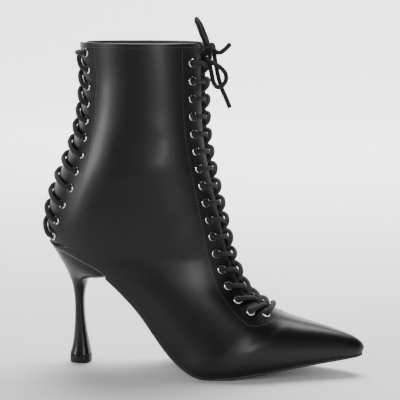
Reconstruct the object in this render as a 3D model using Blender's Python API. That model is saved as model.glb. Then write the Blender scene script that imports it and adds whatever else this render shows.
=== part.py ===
"""A high lace-up ankle boot for the right foot, in metres, +Z up, toe towards +X, outer side at -Y.

Every section of the upper lies in a plane that holds the Y direction and runs from a point on the
back or bottom line to a point on the front line, so that the planes fan from level at the collar
to nearly upright at the toe. Lengths along a section are measured from the front line or from the
back line.
"""

import math

import bmesh
import bpy
import numpy as np
from mathutils import Vector

# Sizes of the whole boot
BOOT_LENGTH = 0.2416
BOOT_HEIGHT = 0.2460
SEAT_HEIGHT = 0.0953
BALL_WIDTH = 0.0785
HEEL_SETBACK = 0.0238
# Leather, sole and fit
UPPER_WALL = 0.0022
FACING_STEP = 0.0006
SEAM_WIDTH = 0.0004
SOLE_THICK = 0.0023
SOLE_MARGIN = 0.0006
INSOLE_THICK = 0.0016
FIT_GAP = 0.0003
# Openings and panels, as half widths across the middle of the boot
THROAT_HALF = 0.0093
BACK_SLIT_HALF = 0.0080
PANEL_LAP = 0.0062
PANEL_THICK = 0.0018
# Lacing
LACE_THICK = 0.0024
BOW_THICK = 0.0023
KNOT_LENGTH = 0.0068
KNOT_WIDTH = 0.0072
KNOT_TALL = 0.0092
FRONT_EYELETS = 17
BACK_EYELETS = 12
EYELET_OUTER = 0.0066
EYELET_INNER = 0.0040
EYELET_RISE = 0.0007
FRONT_EYELET_REACH = 0.0190
BACK_EYELET_REACH = 0.0185
# Heel
LIFT_LENGTH = 0.0166
LIFT_WIDTH = 0.0150
LIFT_THICK = 0.0058

# One row a section, from the collar down and forward to the toe:
# front point x share of length, front point z share of height, back or bottom point x share,
# its z (up to 1 a share of the seat height, above 1 a share of the rise from seat to collar),
# greatest half width outer and inner side, half width at the sole outer and inner side (all
# shares of the ball width), where the section is widest (share from bottom to front point),
# how square the lower part is, fullness of the front part, shift to the inner side, and the
# distances of the back and front seams from the back and front line (shares of ball width).
COLUMNS = (
    "front_x", "front_z", "low_x", "low_z", "wide_out", "wide_in", "sole_out", "sole_in",
    "widest", "under", "full", "shift", "back_seam", "front_seam",
)
SECTIONS = (
    ("collar", 0.5037, 1.0000, 0.1122, 2.0000, 0.420, 0.420, 0, 0, 0.50, 0.5, 2.00, 0, 0.38, 0.325),
    ("upper_shaft", 0.5054, 0.9024, 0.1209, 1.8341, 0.405, 0.405, 0, 0, 0.50, 0.5, 2.02, 0, 0.37, 0.325),
    ("shaft", 0.5066, 0.8130, 0.1126, 1.6815, 0.399, 0.399, 0, 0, 0.49, 0.5, 2.05, 0, 0.38, 0.320),
    ("above_ankle", 0.5099, 0.7398, 0.0969, 1.5687, 0.404, 0.404, 0, 0, 0.48, 0.5, 2.08, 0, 0.42, 0.315),
    ("ankle_top", 0.5182, 0.6789, 0.0737, 1.4625, 0.413, 0.413, 0, 0, 0.46, 0.5, 2.12, 0, 0.47, 0.310),
    ("ankle", 0.5298, 0.6179, 0.0439, 1.3597, 0.418, 0.418, 0, 0, 0.43, 0.5, 2.16, 0, 0.52, 0.305),
    ("ankle_low", 0.5455, 0.5528, 0.0182, 1.2568, 0.411, 0.411, 0, 0, 0.39, 0.5, 2.20, 0, 0.52, 0.305),
    ("heel_curve", 0.5613, 0.4878, 0.0033, 1.1573, 0.401, 0.401, 0, 0, 0.35, 0.5, 2.25, 0, 0.48, 0.305),
    ("counter", 0.5757, 0.4248, 0.0000, 1.0710, 0.385, 0.385, 0, 0, 0.32, 0.5, 2.30, 0, 0.41, 0.305),
    ("seat_back", 0.5886, 0.3720, 0.0091, 1.0000, 0.364, 0.364, 0, 0, 0.30, 0.5, 2.33, 0, 0.31, 0.310),
    ("seat_turn", 0.5935, 0.3557, 0.0145, 0.9958, 0.359, 0.357, 0.107, 0.104, 0.29, 0.75, 2.34, 0,
     0.19, 0.312),
    ("seat_side", 0.5993, 0.3394, 0.0290, 0.9832, 0.354, 0.350, 0.186, 0.181, 0.28, 0.82, 2.36, 0,
     0.09, 0.318),
    ("seat_mid", 0.6093, 0.3130, 0.0633, 0.9538, 0.350, 0.344, 0.255, 0.247, 0.28, 0.90, 2.38, 0,
     0.00, 0.330),
    ("seat_front", 0.6258, 0.2748, 0.1233, 0.8909, 0.349, 0.339, 0.306, 0.293, 0.30, 0.96, 2.38, 0,
     0.00, 0.350),
    ("breast", 0.6490, 0.2407, 0.2061, 0.7765, 0.352, 0.339, 0.321, 0.298, 0.34, 1.00, 2.35, 0,
     0.00, 0.375),
    ("waist", 0.6755, 0.2195, 0.3079, 0.5205, 0.377, 0.357, 0.311, 0.275, 0.38, 1.00, 2.28, 0,
     0.00, 0.395),
    ("waist_low", 0.7028, 0.2033, 0.4172, 0.1742, 0.438, 0.423, 0.380, 0.349, 0.36, 1.00, 2.20, 0,
     0.00, 0.400),
    ("ball", 0.7297, 0.1882, 0.5000, 0.0367, 0.487, 0.492, 0.456, 0.459, 0.24, 1.00, 2.15, 0.003,
     0.00, 0.400),
    ("ball_front", 0.7587, 0.1748, 0.5869, 0.0265, 0.474, 0.518, 0.454, 0.496, 0.18, 1.00, 2.12, 0.008,
     0.00, 0.400),
    ("vamp", 0.7939, 0.1638, 0.6656, 0.0483, 0.410, 0.478, 0.392, 0.458, 0.16, 1.00, 2.10, 0.013,
     0.00, 0.400),
    ("vamp_front", 0.8353, 0.1533, 0.7401, 0.0756, 0.331, 0.394, 0.313, 0.374, 0.15, 1.00, 2.10, 0.020,
     0.00, 0.400),
    ("toe_box", 0.8808, 0.1419, 0.8104, 0.1028, 0.250, 0.299, 0.234, 0.281, 0.15, 1.00, 2.10, 0.027,
     0.00, 0.400),
    ("toe_narrow", 0.9243, 0.1293, 0.8767, 0.1280, 0.181, 0.212, 0.168, 0.197, 0.16, 1.00, 2.08, 0.032,
     0.00, 0.400),
    ("toe_front", 0.9574, 0.1179, 0.9263, 0.1469, 0.132, 0.149, 0.122, 0.138, 0.18, 1.00, 2.05, 0.035,
     0.00, 0.400),
    ("toe_end", 0.9801, 0.1065, 0.9619, 0.1595, 0.092, 0.100, 0.084, 0.092, 0.22, 0.90, 2.0, 0.037,
     0.00, 0.400),
    ("toe_turn", 0.9942, 0.0943, 0.9843, 0.1679, 0.054, 0.058, 0.047, 0.051, 0.28, 0.80, 2.0, 0.038,
     0.00, 0.400),
    ("toe_tip", 1.0000, 0.0829, 0.9950, 0.1742, 0, 0, 0, 0, 0.40, 0.70, 2.0, 0.038, 0.00, 0.400),
)
NAMES = [row[0] for row in SECTIONS]
TABLE = np.array([row[1:] for row in SECTIONS])
# Where things start and end, as places along the rows of the table
AT_COLLAR = 0.0
AT_SEAT = float(NAMES.index("seat_back"))
AT_BREAST = float(NAMES.index("breast"))
AT_TIP = float(NAMES.index("toe_tip"))
SLIT_ROUND_FROM = 8.30
SLIT_END = 8.80
THROAT_ROUND_FROM = 14.9
THROAT_END = 16.6
SEAM_ROUND_FROM = 16.15
SEAM_END = 17.55
EYELET_ROUND_FROM = 15.4
EYELET_ROUND_TO = 16.75
FIRST_FRONT_EYELET = 0.58
LAST_FRONT_EYELET = 16.42
FIRST_BACK_EYELET = 0.31
LAST_BACK_EYELET = 8.22

LATERAL, MEDIAL = -1, 1


def clear_scene():
    """Empty the scene before the boot is made."""
    for obj in list(bpy.data.objects):
        bpy.data.objects.remove(obj, do_unlink=True)


def material(name, colour, roughness, metallic=0.0):
    """A plain material of one colour."""
    made = bpy.data.materials.new(name)
    made.use_nodes = True
    shader = made.node_tree.nodes["Principled BSDF"]
    shader.inputs["Base Color"].default_value = (*colour, 1.0)
    shader.inputs["Roughness"].default_value = roughness
    shader.inputs["Metallic"].default_value = metallic
    return made


def section_values(t):
    """Every column of the table at a place between its rows, run smoothly from row to row."""
    last = len(TABLE) - 1
    i = int(min(max(math.floor(t), 0), last - 1))
    u = t - i
    one = TABLE[i]
    two = TABLE[i + 1]
    before = TABLE[i - 1] if i > 0 else 2 * one - two
    after = TABLE[i + 2] if i + 2 <= last else 2 * two - one
    slope_one = (two - before) / 2
    slope_two = (after - one) / 2
    value = (
        (2 * u**3 - 3 * u**2 + 1) * one
        + (u**3 - 2 * u**2 + u) * slope_one
        + (3 * u**2 - 2 * u**3) * two
        + (u**3 - u**2) * slope_two
    )
    return dict(zip(COLUMNS, value))


def lower_height(share):
    """Height of a back or bottom point from its share in the table."""
    below = SEAT_HEIGHT * min(share, 1.0)
    return below + (BOOT_HEIGHT - SEAT_HEIGHT) * max(share - 1.0, 0.0)


def side_curve(t, side, count=48):
    """Points of one side of a section, from the back or bottom point up to the front line."""
    row = section_values(t)
    low = np.array([row["low_x"] * BOOT_LENGTH - HEEL_SETBACK, lower_height(row["low_z"])])
    top = np.array([row["front_x"] * BOOT_LENGTH - HEEL_SETBACK, row["front_z"] * BOOT_HEIGHT])
    wide = max(row["wide_in" if side > 0 else "wide_out"], 0.0) * BALL_WIDTH
    sole = max(row["sole_in" if side > 0 else "sole_out"], 0.0) * BALL_WIDTH
    if t <= AT_SEAT:
        sole = 0.0
    turn = np.linspace(0, math.pi / 2, count)
    lower_share = row["widest"] * (1 - np.cos(turn))
    lower_width = sole + (wide - sole) * np.sin(turn) ** (2 * row["under"])
    upper_share = row["widest"] + (1 - row["widest"]) * np.sin(turn[1:]) ** (2 / row["full"])
    upper_width = wide * np.maximum(np.cos(turn[1:]), 0) ** (2 / row["full"])
    upper_width[-1] = 0.0
    share = np.concatenate([lower_share, upper_share])
    width = np.concatenate([lower_width, upper_width])
    spine = low + share[:, None] * (top - low)
    across = row["shift"] * BALL_WIDTH + side * width
    return np.column_stack([spine[:, 0], across, spine[:, 1]])


def along(curve):
    """Distance along a curve at each of its points."""
    return np.concatenate([[0.0], np.cumsum(np.linalg.norm(np.diff(curve, axis=0), axis=1))])


def points_at(curve, where):
    """Points of a curve at distances along it."""
    far = along(curve)
    return np.column_stack([np.interp(where, far, curve[:, k]) for k in range(3)])


def rounded(t, start, end, half):
    """A half width that stays the same to a row and then rounds off to nothing."""
    share = min(max((t - start) / (end - start), 0.0), 1.0)
    return half * math.sqrt(1.0 - share * share)


def throat_half(t):
    """Half width of the front opening, measured over the surface."""
    return rounded(t, THROAT_ROUND_FROM, THROAT_END, THROAT_HALF)


def slit_half(t):
    """Half width of the back opening, measured over the surface."""
    return rounded(t, SLIT_ROUND_FROM, SLIT_END, BACK_SLIT_HALF)


def front_seam(t):
    """Distance of the front facing's seam from the front line."""
    wide = section_values(t)["front_seam"] * BALL_WIDTH
    return rounded(t, SEAM_ROUND_FROM, SEAM_END, wide)


def back_seam(t):
    """Distance of the back facing's seam from the back line."""
    if t >= NAMES.index("seat_mid"):
        return 0.0
    return max(section_values(t)["back_seam"] * BALL_WIDTH, 0.0)


def surface_point(t, reach, line):
    """A point of the outer surface, at a signed distance from the front or the back line."""
    curve = side_curve(t, MEDIAL if reach > 0 else LATERAL, 96)
    length = along(curve)[-1]
    where = length - abs(reach) if line == "front" else abs(reach)
    return points_at(curve, [where])[0]


def surface_frame(t, reach, line):
    """Point, outward direction and the direction down the rows at a place on the surface."""
    step = 0.0006
    point = surface_point(t, reach, line)
    over = surface_point(t, reach + step, line) - surface_point(t, reach - step, line)
    down = surface_point(t + 0.03, reach, line) - surface_point(max(t - 0.03, 0.0), reach, line)
    out = np.cross(over, down)
    out /= np.linalg.norm(out)
    row = section_values(t)
    middle = np.array([
        (row["low_x"] + row["front_x"]) / 2 * BOOT_LENGTH - HEEL_SETBACK,
        0.0,
        (lower_height(row["low_z"]) + row["front_z"] * BOOT_HEIGHT) / 2,
    ])
    if np.dot(out, point - middle) < 0:
        out = -out
    return point, out, down / np.linalg.norm(down)


def arc_rows(start, end, steps=5):
    """Places that crowd towards a rounded end, so that it comes out round."""
    return [start + (end - start) * math.sin(math.pi / 2 * k / steps) for k in range(steps + 1)]


def upper_rows():
    """Places of the upper's rows along the table."""
    rows = [float(k) for k in range(len(TABLE))] + [4.5, 5.5, 6.5, 7.5, 12.5, 13.5, 14.4]
    rows += arc_rows(SLIT_ROUND_FROM, SLIT_END, 4)
    rows += arc_rows(THROAT_ROUND_FROM, THROAT_END)
    rows += arc_rows(SEAM_ROUND_FROM, SEAM_END)
    rows = sorted(rows)
    return [t for k, t in enumerate(rows) if k == 0 or t - rows[k - 1] > 0.02]


def column_places(t, length, back_spans, side_spans, front_spans):
    """Distances of a row's points along one side, and how far each is raised over the wall."""
    back_edge = slit_half(t) if t < AT_SEAT else 0.0
    back_line = max(back_seam(t), back_edge)
    front_edge = length - throat_half(t)
    front_line = length - max(front_seam(t), throat_half(t))
    back_gap = SEAM_WIDTH if back_line > 0.002 else 0.0
    front_gap = SEAM_WIDTH if front_line < length - 0.002 else 0.0
    places = list(np.linspace(back_edge, back_line, back_spans + 1))
    raised = [FACING_STEP if back_gap else 0.0] * (back_spans + 1)
    places += list(np.linspace(back_line + back_gap, front_line - front_gap, side_spans + 1))
    raised += [0.0] * (side_spans + 1)
    places += list(np.linspace(front_line, front_edge, front_spans + 1))
    raised += [FACING_STEP if front_gap else 0.0] * (front_spans + 1)
    return np.array(places), np.array(raised)


class Skin:
    """Points and faces, with points at one place made one."""

    def __init__(self):
        self.points, self.raised, self.faces, self.known = [], [], [], {}

    def point(self, place, raised):
        key = tuple(int(round(float(c) * 2e5)) for c in place)
        if key not in self.known:
            self.known[key] = len(self.points)
            self.points.append(np.array(place, float))
            self.raised.append(raised)
        return self.known[key]

    def face(self, corners):
        kept = [c for k, c in enumerate(corners) if c != corners[k - 1]]
        if len(set(kept)) == len(kept) and len(kept) > 2:
            self.faces.append(kept)

    def grid(self, rows, flip):
        for one, two in zip(rows, rows[1:]):
            for a, b, c, d in zip(one, one[1:], two[1:], two):
                self.face([d, c, b, a] if flip else [a, b, c, d])

    def normals(self):
        out = np.zeros((len(self.points), 3))
        for face in self.faces:
            p = [self.points[k] for k in face]
            for k in range(1, len(p) - 1):
                turn = np.cross(p[k] - p[0], p[k + 1] - p[0])
                for v in (face[0], face[k], face[k + 1]):
                    out[v] += turn
        return out / np.maximum(np.linalg.norm(out, axis=1), 1e-12)[:, None]

    def edges(self):
        """Edges with one face only, in the direction of that face."""
        seen = {}
        for face in self.faces:
            for a, b in zip(face, face[1:] + face[:1]):
                seen[(a, b)] = True
        return [(a, b) for a, b in seen if (b, a) not in seen]

    def shell(self, outside, inside):
        """Points and faces of a wall between two distances from the surface."""
        out = self.normals()
        base = np.array(self.points)
        count = len(base)
        outer = base + out * (outside + np.array(self.raised))[:, None]
        inner = base + out * inside
        faces = [list(face) for face in self.faces]
        faces += [[v + count for v in reversed(face)] for face in self.faces]
        faces += [[b, a, a + count, b + count] for a, b in self.edges()]
        return np.vstack([outer, inner]), faces


def solid(name, points, faces, mat, smooth=True):
    """A closed mesh from points and faces, its faces turned outward."""
    mesh = bpy.data.meshes.new(name)
    mesh.from_pydata([tuple(map(float, p)) for p in points], [], faces)
    made = bmesh.new()
    made.from_mesh(mesh)
    bmesh.ops.recalc_face_normals(made, faces=made.faces)
    bmesh.ops.triangulate(made, faces=[f for f in made.faces if len(f.verts) > 4])
    made.to_mesh(mesh)
    made.free()
    obj = bpy.data.objects.new(name, mesh)
    bpy.context.scene.collection.objects.link(obj)
    mesh.materials.append(mat)
    if smooth:
        mesh.shade_smooth()
        mesh.set_sharp_from_angle(angle=math.radians(38))
    return obj


def boolean(obj, cutter, operation):
    """Cut one object by another, or join them; the other is a helper and isn't shown."""
    cutter.hide_render = True
    cutter.display_type = "WIRE"
    step = obj.modifiers.new(operation.lower(), "BOOLEAN")
    step.operation = operation
    step.solver = "EXACT"
    step.object = cutter


def upper_skin(rows, back_spans=2, side_spans=6, front_spans=2):
    """The outer surface of the upper, with its openings left out."""
    skin = Skin()
    for side in (LATERAL, MEDIAL):
        grid = []
        for t in rows:
            curve = side_curve(t, side)
            places, raised = column_places(t, along(curve)[-1], back_spans, side_spans, front_spans)
            points = points_at(curve, places)
            grid.append([skin.point(p, r) for p, r in zip(points, raised)])
        skin.grid(grid, side < 0)
    return skin


def eyelet_line(t, line):
    """Distance of the eyelets from the front or the back line."""
    if line == "front":
        wide = FRONT_EYELET_REACH * (1 + 0.18 * min(max((t - 12) / 3, 0), 1))
        return rounded(t, EYELET_ROUND_FROM, EYELET_ROUND_TO, wide)
    return BACK_EYELET_REACH


def eyelet_places(line):
    """Places of the eyelets along the rows, at even steps over the leather."""
    first = FIRST_FRONT_EYELET if line == "front" else FIRST_BACK_EYELET
    last = LAST_FRONT_EYELET if line == "front" else LAST_BACK_EYELET
    count = FRONT_EYELETS if line == "front" else BACK_EYELETS
    rows = np.linspace(first, last, 90)
    path = np.array([surface_point(t, -eyelet_line(t, line), line) for t in rows])
    far = along(path)
    return np.interp(np.linspace(0, far[-1], count), far, rows)


def turned(name, profile, place, axis, mat, segments=8):
    """A ring or plug turned about an axis, from pairs of radius and height."""
    points, faces = [], []
    to_axis = Vector(axis).to_track_quat("Z", "Y").to_matrix()
    spot = Vector(place)
    for k in range(segments):
        angle = 2 * math.pi * (k + 0.5) / segments
        for radius, height in profile:
            local = Vector((radius * math.cos(angle), radius * math.sin(angle), height))
            points.append(spot + to_axis @ local)
    n = len(profile)
    for k in range(segments):
        m = (k + 1) % segments
        for j in range(n):
            i = (j + 1) % n
            faces.append([k * n + j, m * n + j, m * n + i, k * n + i])
    return solid(name, points, faces, mat)


def hole_cutters(mat):
    """One helper that holds a peg for each eyelet hole."""
    points, faces = [], []
    for line in ("front", "back"):
        for side in (LATERAL, MEDIAL):
            for t in eyelet_places(line):
                place, out, down = surface_frame(t, side * eyelet_line(t, line), line)
                turn = Vector(out).to_track_quat("Z", "Y").to_matrix()
                first = len(points)
                for height in (-0.0050, 0.0040):
                    for k in range(8):
                        angle = 2 * math.pi * (k + 0.5) / 8
                        local = Vector((math.cos(angle), math.sin(angle), 0)) * (EYELET_INNER / 2 + 0.0001)
                        local.z = height
                        points.append(Vector(place) + turn @ local)
                faces.append([first + k for k in reversed(range(8))])
                faces.append([first + 8 + k for k in range(8)])
                for k in range(8):
                    m = (k + 1) % 8
                    faces.append([first + k, first + m, first + 8 + m, first + 8 + k])
    mesh = bpy.data.meshes.new("eyelet_hole_pegs")
    mesh.from_pydata([tuple(p) for p in points], [], faces)
    obj = bpy.data.objects.new("eyelet_hole_pegs", mesh)
    bpy.context.scene.collection.objects.link(obj)
    return obj


def make_upper(mat):
    """The leather upper: one hollow wall, open at the collar, throat, back slit and underneath."""
    skin = upper_skin(upper_rows())
    points, faces = skin.shell(0.0, -UPPER_WALL)
    for point in points[len(skin.points):]:
        if point[0] > BED_X[0]:
            point[2] = max(point[2], bed_height(point[0], 0.0))
    obj = solid("upper", points, faces, mat)
    boolean(obj, hole_cutters(mat), "DIFFERENCE")
    return obj


def lining_panel(name, line, rows, half, inset, thick, mat):
    """A curved panel inside the upper, behind one of its openings."""
    skin = Skin()
    spans = np.linspace(-1, 1, 7)
    grid = []
    for t in rows:
        reach = half(t)
        grid.append([skin.point(surface_point(t, share * reach, line), 0.0) for share in spans])
    skin.grid(grid, False)
    if np.dot(skin.normals()[4], surface_frame(rows[0], 0.0, line)[1]) < 0:
        skin.faces = [face[::-1] for face in skin.faces]
    points, faces = skin.shell(-inset, -inset - thick)
    return solid(name, points, faces, mat)


def make_tongue(mat):
    """The tongue behind the front lacing, down to its seam under the vamp."""
    rows = [0.12, 1, 2, 3, 4, 5, 6, 7, 8, 9, 10.5, 12, 13, 14, 14.8, 15.5, 16.2, 16.8, 17.3]
    inset = UPPER_WALL + LACE_THICK + 0.0017
    return lining_panel("tongue", "front", rows, lambda t: THROAT_HALF + PANEL_LAP, inset, PANEL_THICK, mat)


def make_back_panel(mat):
    """The panel behind the back lacing."""
    rows = [0.12, 1, 2, 2.5, 3, 3.5, 4, 4.5, 5, 6, 7, 7.7, 8.3, 8.62]
    inset = UPPER_WALL + LACE_THICK + 0.0017
    return lining_panel(
        "back_panel", "back", rows, lambda t: BACK_SLIT_HALF + PANEL_LAP, inset, PANEL_THICK, mat
    )


def bed_line():
    """The line that the bottom of the upper follows, seat to toe, as x and z."""
    rows = [t for t in upper_rows() if t >= AT_SEAT]
    values = [section_values(t) for t in rows]
    x = np.array([v["low_x"] * BOOT_LENGTH - HEEL_SETBACK for v in values])
    z = np.array([lower_height(v["low_z"]) for v in values])
    return x, z


BED_X, BED_Z = bed_line()


def bed_height(x, below):
    """Height of a surface that runs at a distance under the bottom of the upper."""
    slope = (np.interp(x + 0.001, BED_X, BED_Z) - np.interp(x - 0.001, BED_X, BED_Z)) / 0.002
    return float(np.interp(x, BED_X, BED_Z) - below * math.sqrt(1 + slope * slope))


def bed_outline(rows, grow):
    """Outline of the bottom at each row: x and y of the outer and of the inner side."""
    lines = []
    for side in (LATERAL, MEDIAL):
        name = "sole_in" if side > 0 else "sole_out"
        flat = []
        for t in rows:
            v = section_values(t)
            half = max(v[name], 0.0) * BALL_WIDTH if t > AT_SEAT else 0.0
            flat.append([v["low_x"] * BOOT_LENGTH - HEEL_SETBACK, v["shift"] * BALL_WIDTH + side * half])
        flat = np.array(flat)
        run = np.gradient(flat, axis=0)
        out = np.column_stack([-side * run[:, 1], side * run[:, 0]])
        out /= np.maximum(np.linalg.norm(out, axis=1), 1e-12)[:, None]
        lines.append(flat + out * grow)
    return lines


def bed_plate(name, rows, grow, top, bottom, mat, spans=6, floor=None):
    """A plate that follows the bottom of the upper, between two distances under it."""
    outer, inner = bed_outline(rows, grow)
    upper_grid, lower_grid, points, faces = [], [], [], []
    for one, two in zip(outer, inner):
        if two[1] - one[1] < 0.0012:
            continue
        tops, lows = [], []
        for share in np.linspace(0, 1, spans + 1):
            x = one[0] + (two[0] - one[0]) * share
            y = one[1] + (two[1] - one[1]) * share
            points.append((x, y, bed_height(x, top)))
            tops.append(len(points) - 1)
            low = bed_height(x, bottom)
            points.append((x, y, low if floor is None else max(low, floor)))
            lows.append(len(points) - 1)
        upper_grid.append(tops)
        lower_grid.append(lows)
    for grid in (upper_grid, lower_grid):
        for one, two in zip(grid, grid[1:]):
            for a, b, c, d in zip(one, one[1:], two[1:], two):
                faces.append([a, b, c, d])
    a, b = upper_grid, lower_grid
    for k in range(len(a) - 1):
        faces.append([a[k][0], a[k + 1][0], b[k + 1][0], b[k][0]])
        faces.append([a[k][-1], a[k + 1][-1], b[k + 1][-1], b[k][-1]])
    for end in (0, -1):
        for k in range(len(a[end]) - 1):
            faces.append([a[end][k], a[end][k + 1], b[end][k + 1], b[end][k]])
    return solid(name, points, faces, mat)


def make_outsole(mat):
    """The thin outsole from the heel's front to the toe, flat under the ball."""
    rows = [AT_BREAST + 0.02]
    rows += [t for t in upper_rows() if AT_BREAST + 0.1 < t < AT_TIP]
    rows += [AT_TIP - 0.6, AT_TIP - 0.3, AT_TIP - 0.12]
    return bed_plate(
        "outsole", rows, SOLE_MARGIN, FIT_GAP, FIT_GAP + SOLE_THICK, mat, 6, 0.0
    )


def make_insole(mat):
    """The insole board that closes the inside of the foot."""
    rows = [9.15, 9.4, 9.7, 10, 10.5, 11, 11.5, 12, 12.5, 13, 13.5, 14, 14.4, 15, 15.5, 16, 16.5, 17]
    rows += [17.5, 18, 18.6, 19.3, 20, 20.7, 21.4, 22, 22.6, 23.2, 23.8]
    return bed_plate("insole", rows, -(UPPER_WALL + 0.0015), -INSOLE_THICK, -0.0001, mat, 4)


# One row a ring of the heel, from its foot up to the seat: height share of the back edge,
# set back of the back edge and set forward of the front edge from the heel's middle (shares
# of the lift's length), height share of the front edge, half width (share of the lift's
# width), and how square its front is. The top rings take their place from the seat.
HEEL_RINGS = (
    (0.066, 0.503, 0.494, 0.066, 0.500, 3.0),
    (0.147, 0.373, 0.404, 0.147, 0.410, 2.9),
    (0.283, 0.277, 0.283, 0.283, 0.325, 2.7),
    (0.400, 0.241, 0.217, 0.400, 0.300, 2.6),
    (0.510, 0.241, 0.205, 0.514, 0.315, 2.6),
    (0.610, 0.301, 0.290, 0.622, 0.400, 2.8),
    (0.703, 0.434, 0.440, 0.686, 0.600, 3.2),
    (0.792, 0.633, 0.753, 0.713, 0.900, 3.8),
    (0.880, 0.910, 1.175, 0.724, 1.240, 4.6),
    (0.948, 1.140, 1.480, 0.735, 1.490, 5.5),
)


def heel_ring(back, front, half, square, count=24):
    """One ring of the heel: round at the back, squarer towards the front."""
    ring = []
    for k in range(count):
        angle = 2 * math.pi * (k + 0.5) / count
        c, s = math.cos(angle), math.sin(angle)
        power = 2 / square if c > 0 else 1.0
        x = math.copysign(abs(c) ** power, c)
        y = math.copysign(abs(s) ** power, s) * half
        share = (x + 1) / 2
        spot = np.array(back) + (np.array(front) - np.array(back)) * share
        ring.append((spot[0], y, spot[1]))
    return ring


def make_heel(mat):
    """The covered heel, lofted from its narrow foot to the full width of the seat."""
    count = 24
    rings = []
    for back_z, back_x, front_x, front_z, half, square in HEEL_RINGS:
        back = (-back_x * LIFT_LENGTH, back_z * SEAT_HEIGHT)
        front = (front_x * LIFT_LENGTH, front_z * SEAT_HEIGHT)
        rings.append(heel_ring(back, front, half * LIFT_WIDTH, square, count))
    breast = section_values(AT_BREAST)
    front_x = breast["low_x"] * BOOT_LENGTH - HEEL_SETBACK
    back_x = BED_X[0] + 0.0004
    half = (breast["sole_out"] + breast["sole_in"]) / 2 * BALL_WIDTH - 0.0002
    for drop in (0.0016, 0.0):
        ring = []
        for x, y, _ in heel_ring((back_x, 0.0), (front_x, 0.0), half, 8.0, count):
            ring.append((x, y, bed_height(x, FIT_GAP) - drop))
        rings.append(ring)
    points = [p for ring in rings for p in ring]
    faces = []
    for r in range(len(rings) - 1):
        for k in range(count):
            m = (k + 1) % count
            faces.append([r * count + k, r * count + m, (r + 1) * count + m, (r + 1) * count + k])
    for r in (0, len(rings) - 1):
        for k in range(count // 2 - 1):
            a, b = r * count + k, r * count + k + 1
            c, d = r * count + count - 2 - k, r * count + count - 1 - k
            faces.append([a, b, c, d])
    return solid("heel", points, faces, mat)


def make_lift(mat):
    """The top lift that the heel stands on."""
    count = 24
    points, faces = [], []
    for height, scale in ((0.0, 0.975), (0.0006, 1.0), (LIFT_THICK - FIT_GAP, 1.0)):
        back = (-0.503 * LIFT_LENGTH * scale, height)
        front = (0.497 * LIFT_LENGTH * scale, height)
        points += heel_ring(back, front, 0.5 * LIFT_WIDTH * scale, 3.0, count)
    for r in range(2):
        for k in range(count):
            m = (k + 1) % count
            faces.append([r * count + k, r * count + m, (r + 1) * count + m, (r + 1) * count + k])
    faces.append([count - 1 - k for k in range(count)])
    faces.append([2 * count + k for k in range(count)])
    return solid("heel_lift", points, faces, mat)


def smooth_path(keys, per_span):
    """A smooth line through key points."""
    keys = np.array(keys, float)
    padded = np.vstack([2 * keys[0] - keys[1], keys, 2 * keys[-1] - keys[-2]])
    line = []
    for k in range(len(keys) - 1):
        a, b, c, d = padded[k:k + 4]
        for j in range(per_span):
            u = j / per_span
            line.append(
                0.5 * (2 * b + (c - a) * u + (2 * a - 5 * b + 4 * c - d) * u**2
                       + (3 * b - a - 3 * c + d) * u**3)
            )
    line.append(keys[-1])
    return np.array(line)


def tube(name, line, radius, mat, sides=6):
    """A round cord along a line, as a closed mesh."""
    points, faces = [], []
    run = np.gradient(line, axis=0)
    run /= np.linalg.norm(run, axis=1)[:, None]
    side = np.cross(run[0], [0.31, 0.85, 0.42])
    for k, centre in enumerate(line):
        side = side - run[k] * np.dot(side, run[k])
        side /= np.linalg.norm(side)
        up = np.cross(run[k], side)
        for j in range(sides):
            angle = 2 * math.pi * j / sides
            points.append(centre + radius * (math.cos(angle) * side + math.sin(angle) * up))
    for k in range(len(line) - 1):
        for j in range(sides):
            m = (j + 1) % sides
            faces.append([k * sides + j, k * sides + m, (k + 1) * sides + m, (k + 1) * sides + j])
    faces.append([j for j in reversed(range(sides))])
    faces.append([(len(line) - 1) * sides + j for j in range(sides)])
    return solid(name, points, faces, mat)


# One row a point of a strand between two eyelets: distance across (share of the eyelets'
# reach, from its own side to the other), share of the step between eyelets, height over
# the leather when it passes over and when it passes under the other strand.
FRONT_STRAND = (
    (-1.00, 0.00, -0.0014, -0.0014),
    (-0.99, 0.00, 0.0022, 0.0022),
    (-0.86, 0.01, 0.0034, 0.0034),
    (-0.50, 0.07, 0.0026, 0.0024),
    (0.00, 0.30, 0.0027, 0.0006),
    (0.26, 0.47, -0.0012, -0.0018),
    (0.40, 0.58, -0.0042, -0.0042),
    (0.68, 0.80, -0.0042, -0.0042),
    (0.96, 0.99, -0.0042, -0.0042),
)
# The lace's last run at the front, from the knot under the facing to the top eyelet.
KNOT_RUN = (
    (0.26, 0.46, -0.0006),
    (0.40, 0.62, -0.0042),
    (0.68, 0.80, -0.0042),
    (0.96, 0.98, -0.0042),
)
BACK_STRAND = (
    (-1.00, 0.00, -0.0014, -0.0014),
    (-0.99, 0.01, 0.0022, 0.0022),
    (-0.86, 0.07, 0.0034, 0.0034),
    (-0.48, 0.30, 0.0029, 0.0027),
    (0.00, 0.52, 0.0032, 0.0011),
    (0.20, 0.63, -0.0010, -0.0018),
    (0.35, 0.72, -0.0044, -0.0044),
    (0.66, 0.87, -0.0045, -0.0045),
    (0.96, 0.99, -0.0042, -0.0042),
)


def place_on(t, reach, height, line):
    """A point at a height over the leather."""
    point, out, down = surface_frame(t, reach, line)
    return point + out * height


def lace_reach(share, t, line):
    """Reach of a lace from the middle: half its share is over the opening, half over the facing."""
    half = throat_half(t) if line == "front" else BACK_SLIT_HALF
    rest = eyelet_line(t, line) - half
    return half * min(share * 2, 1.0) + rest * max(share * 2 - 1.0, 0.0)


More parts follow.
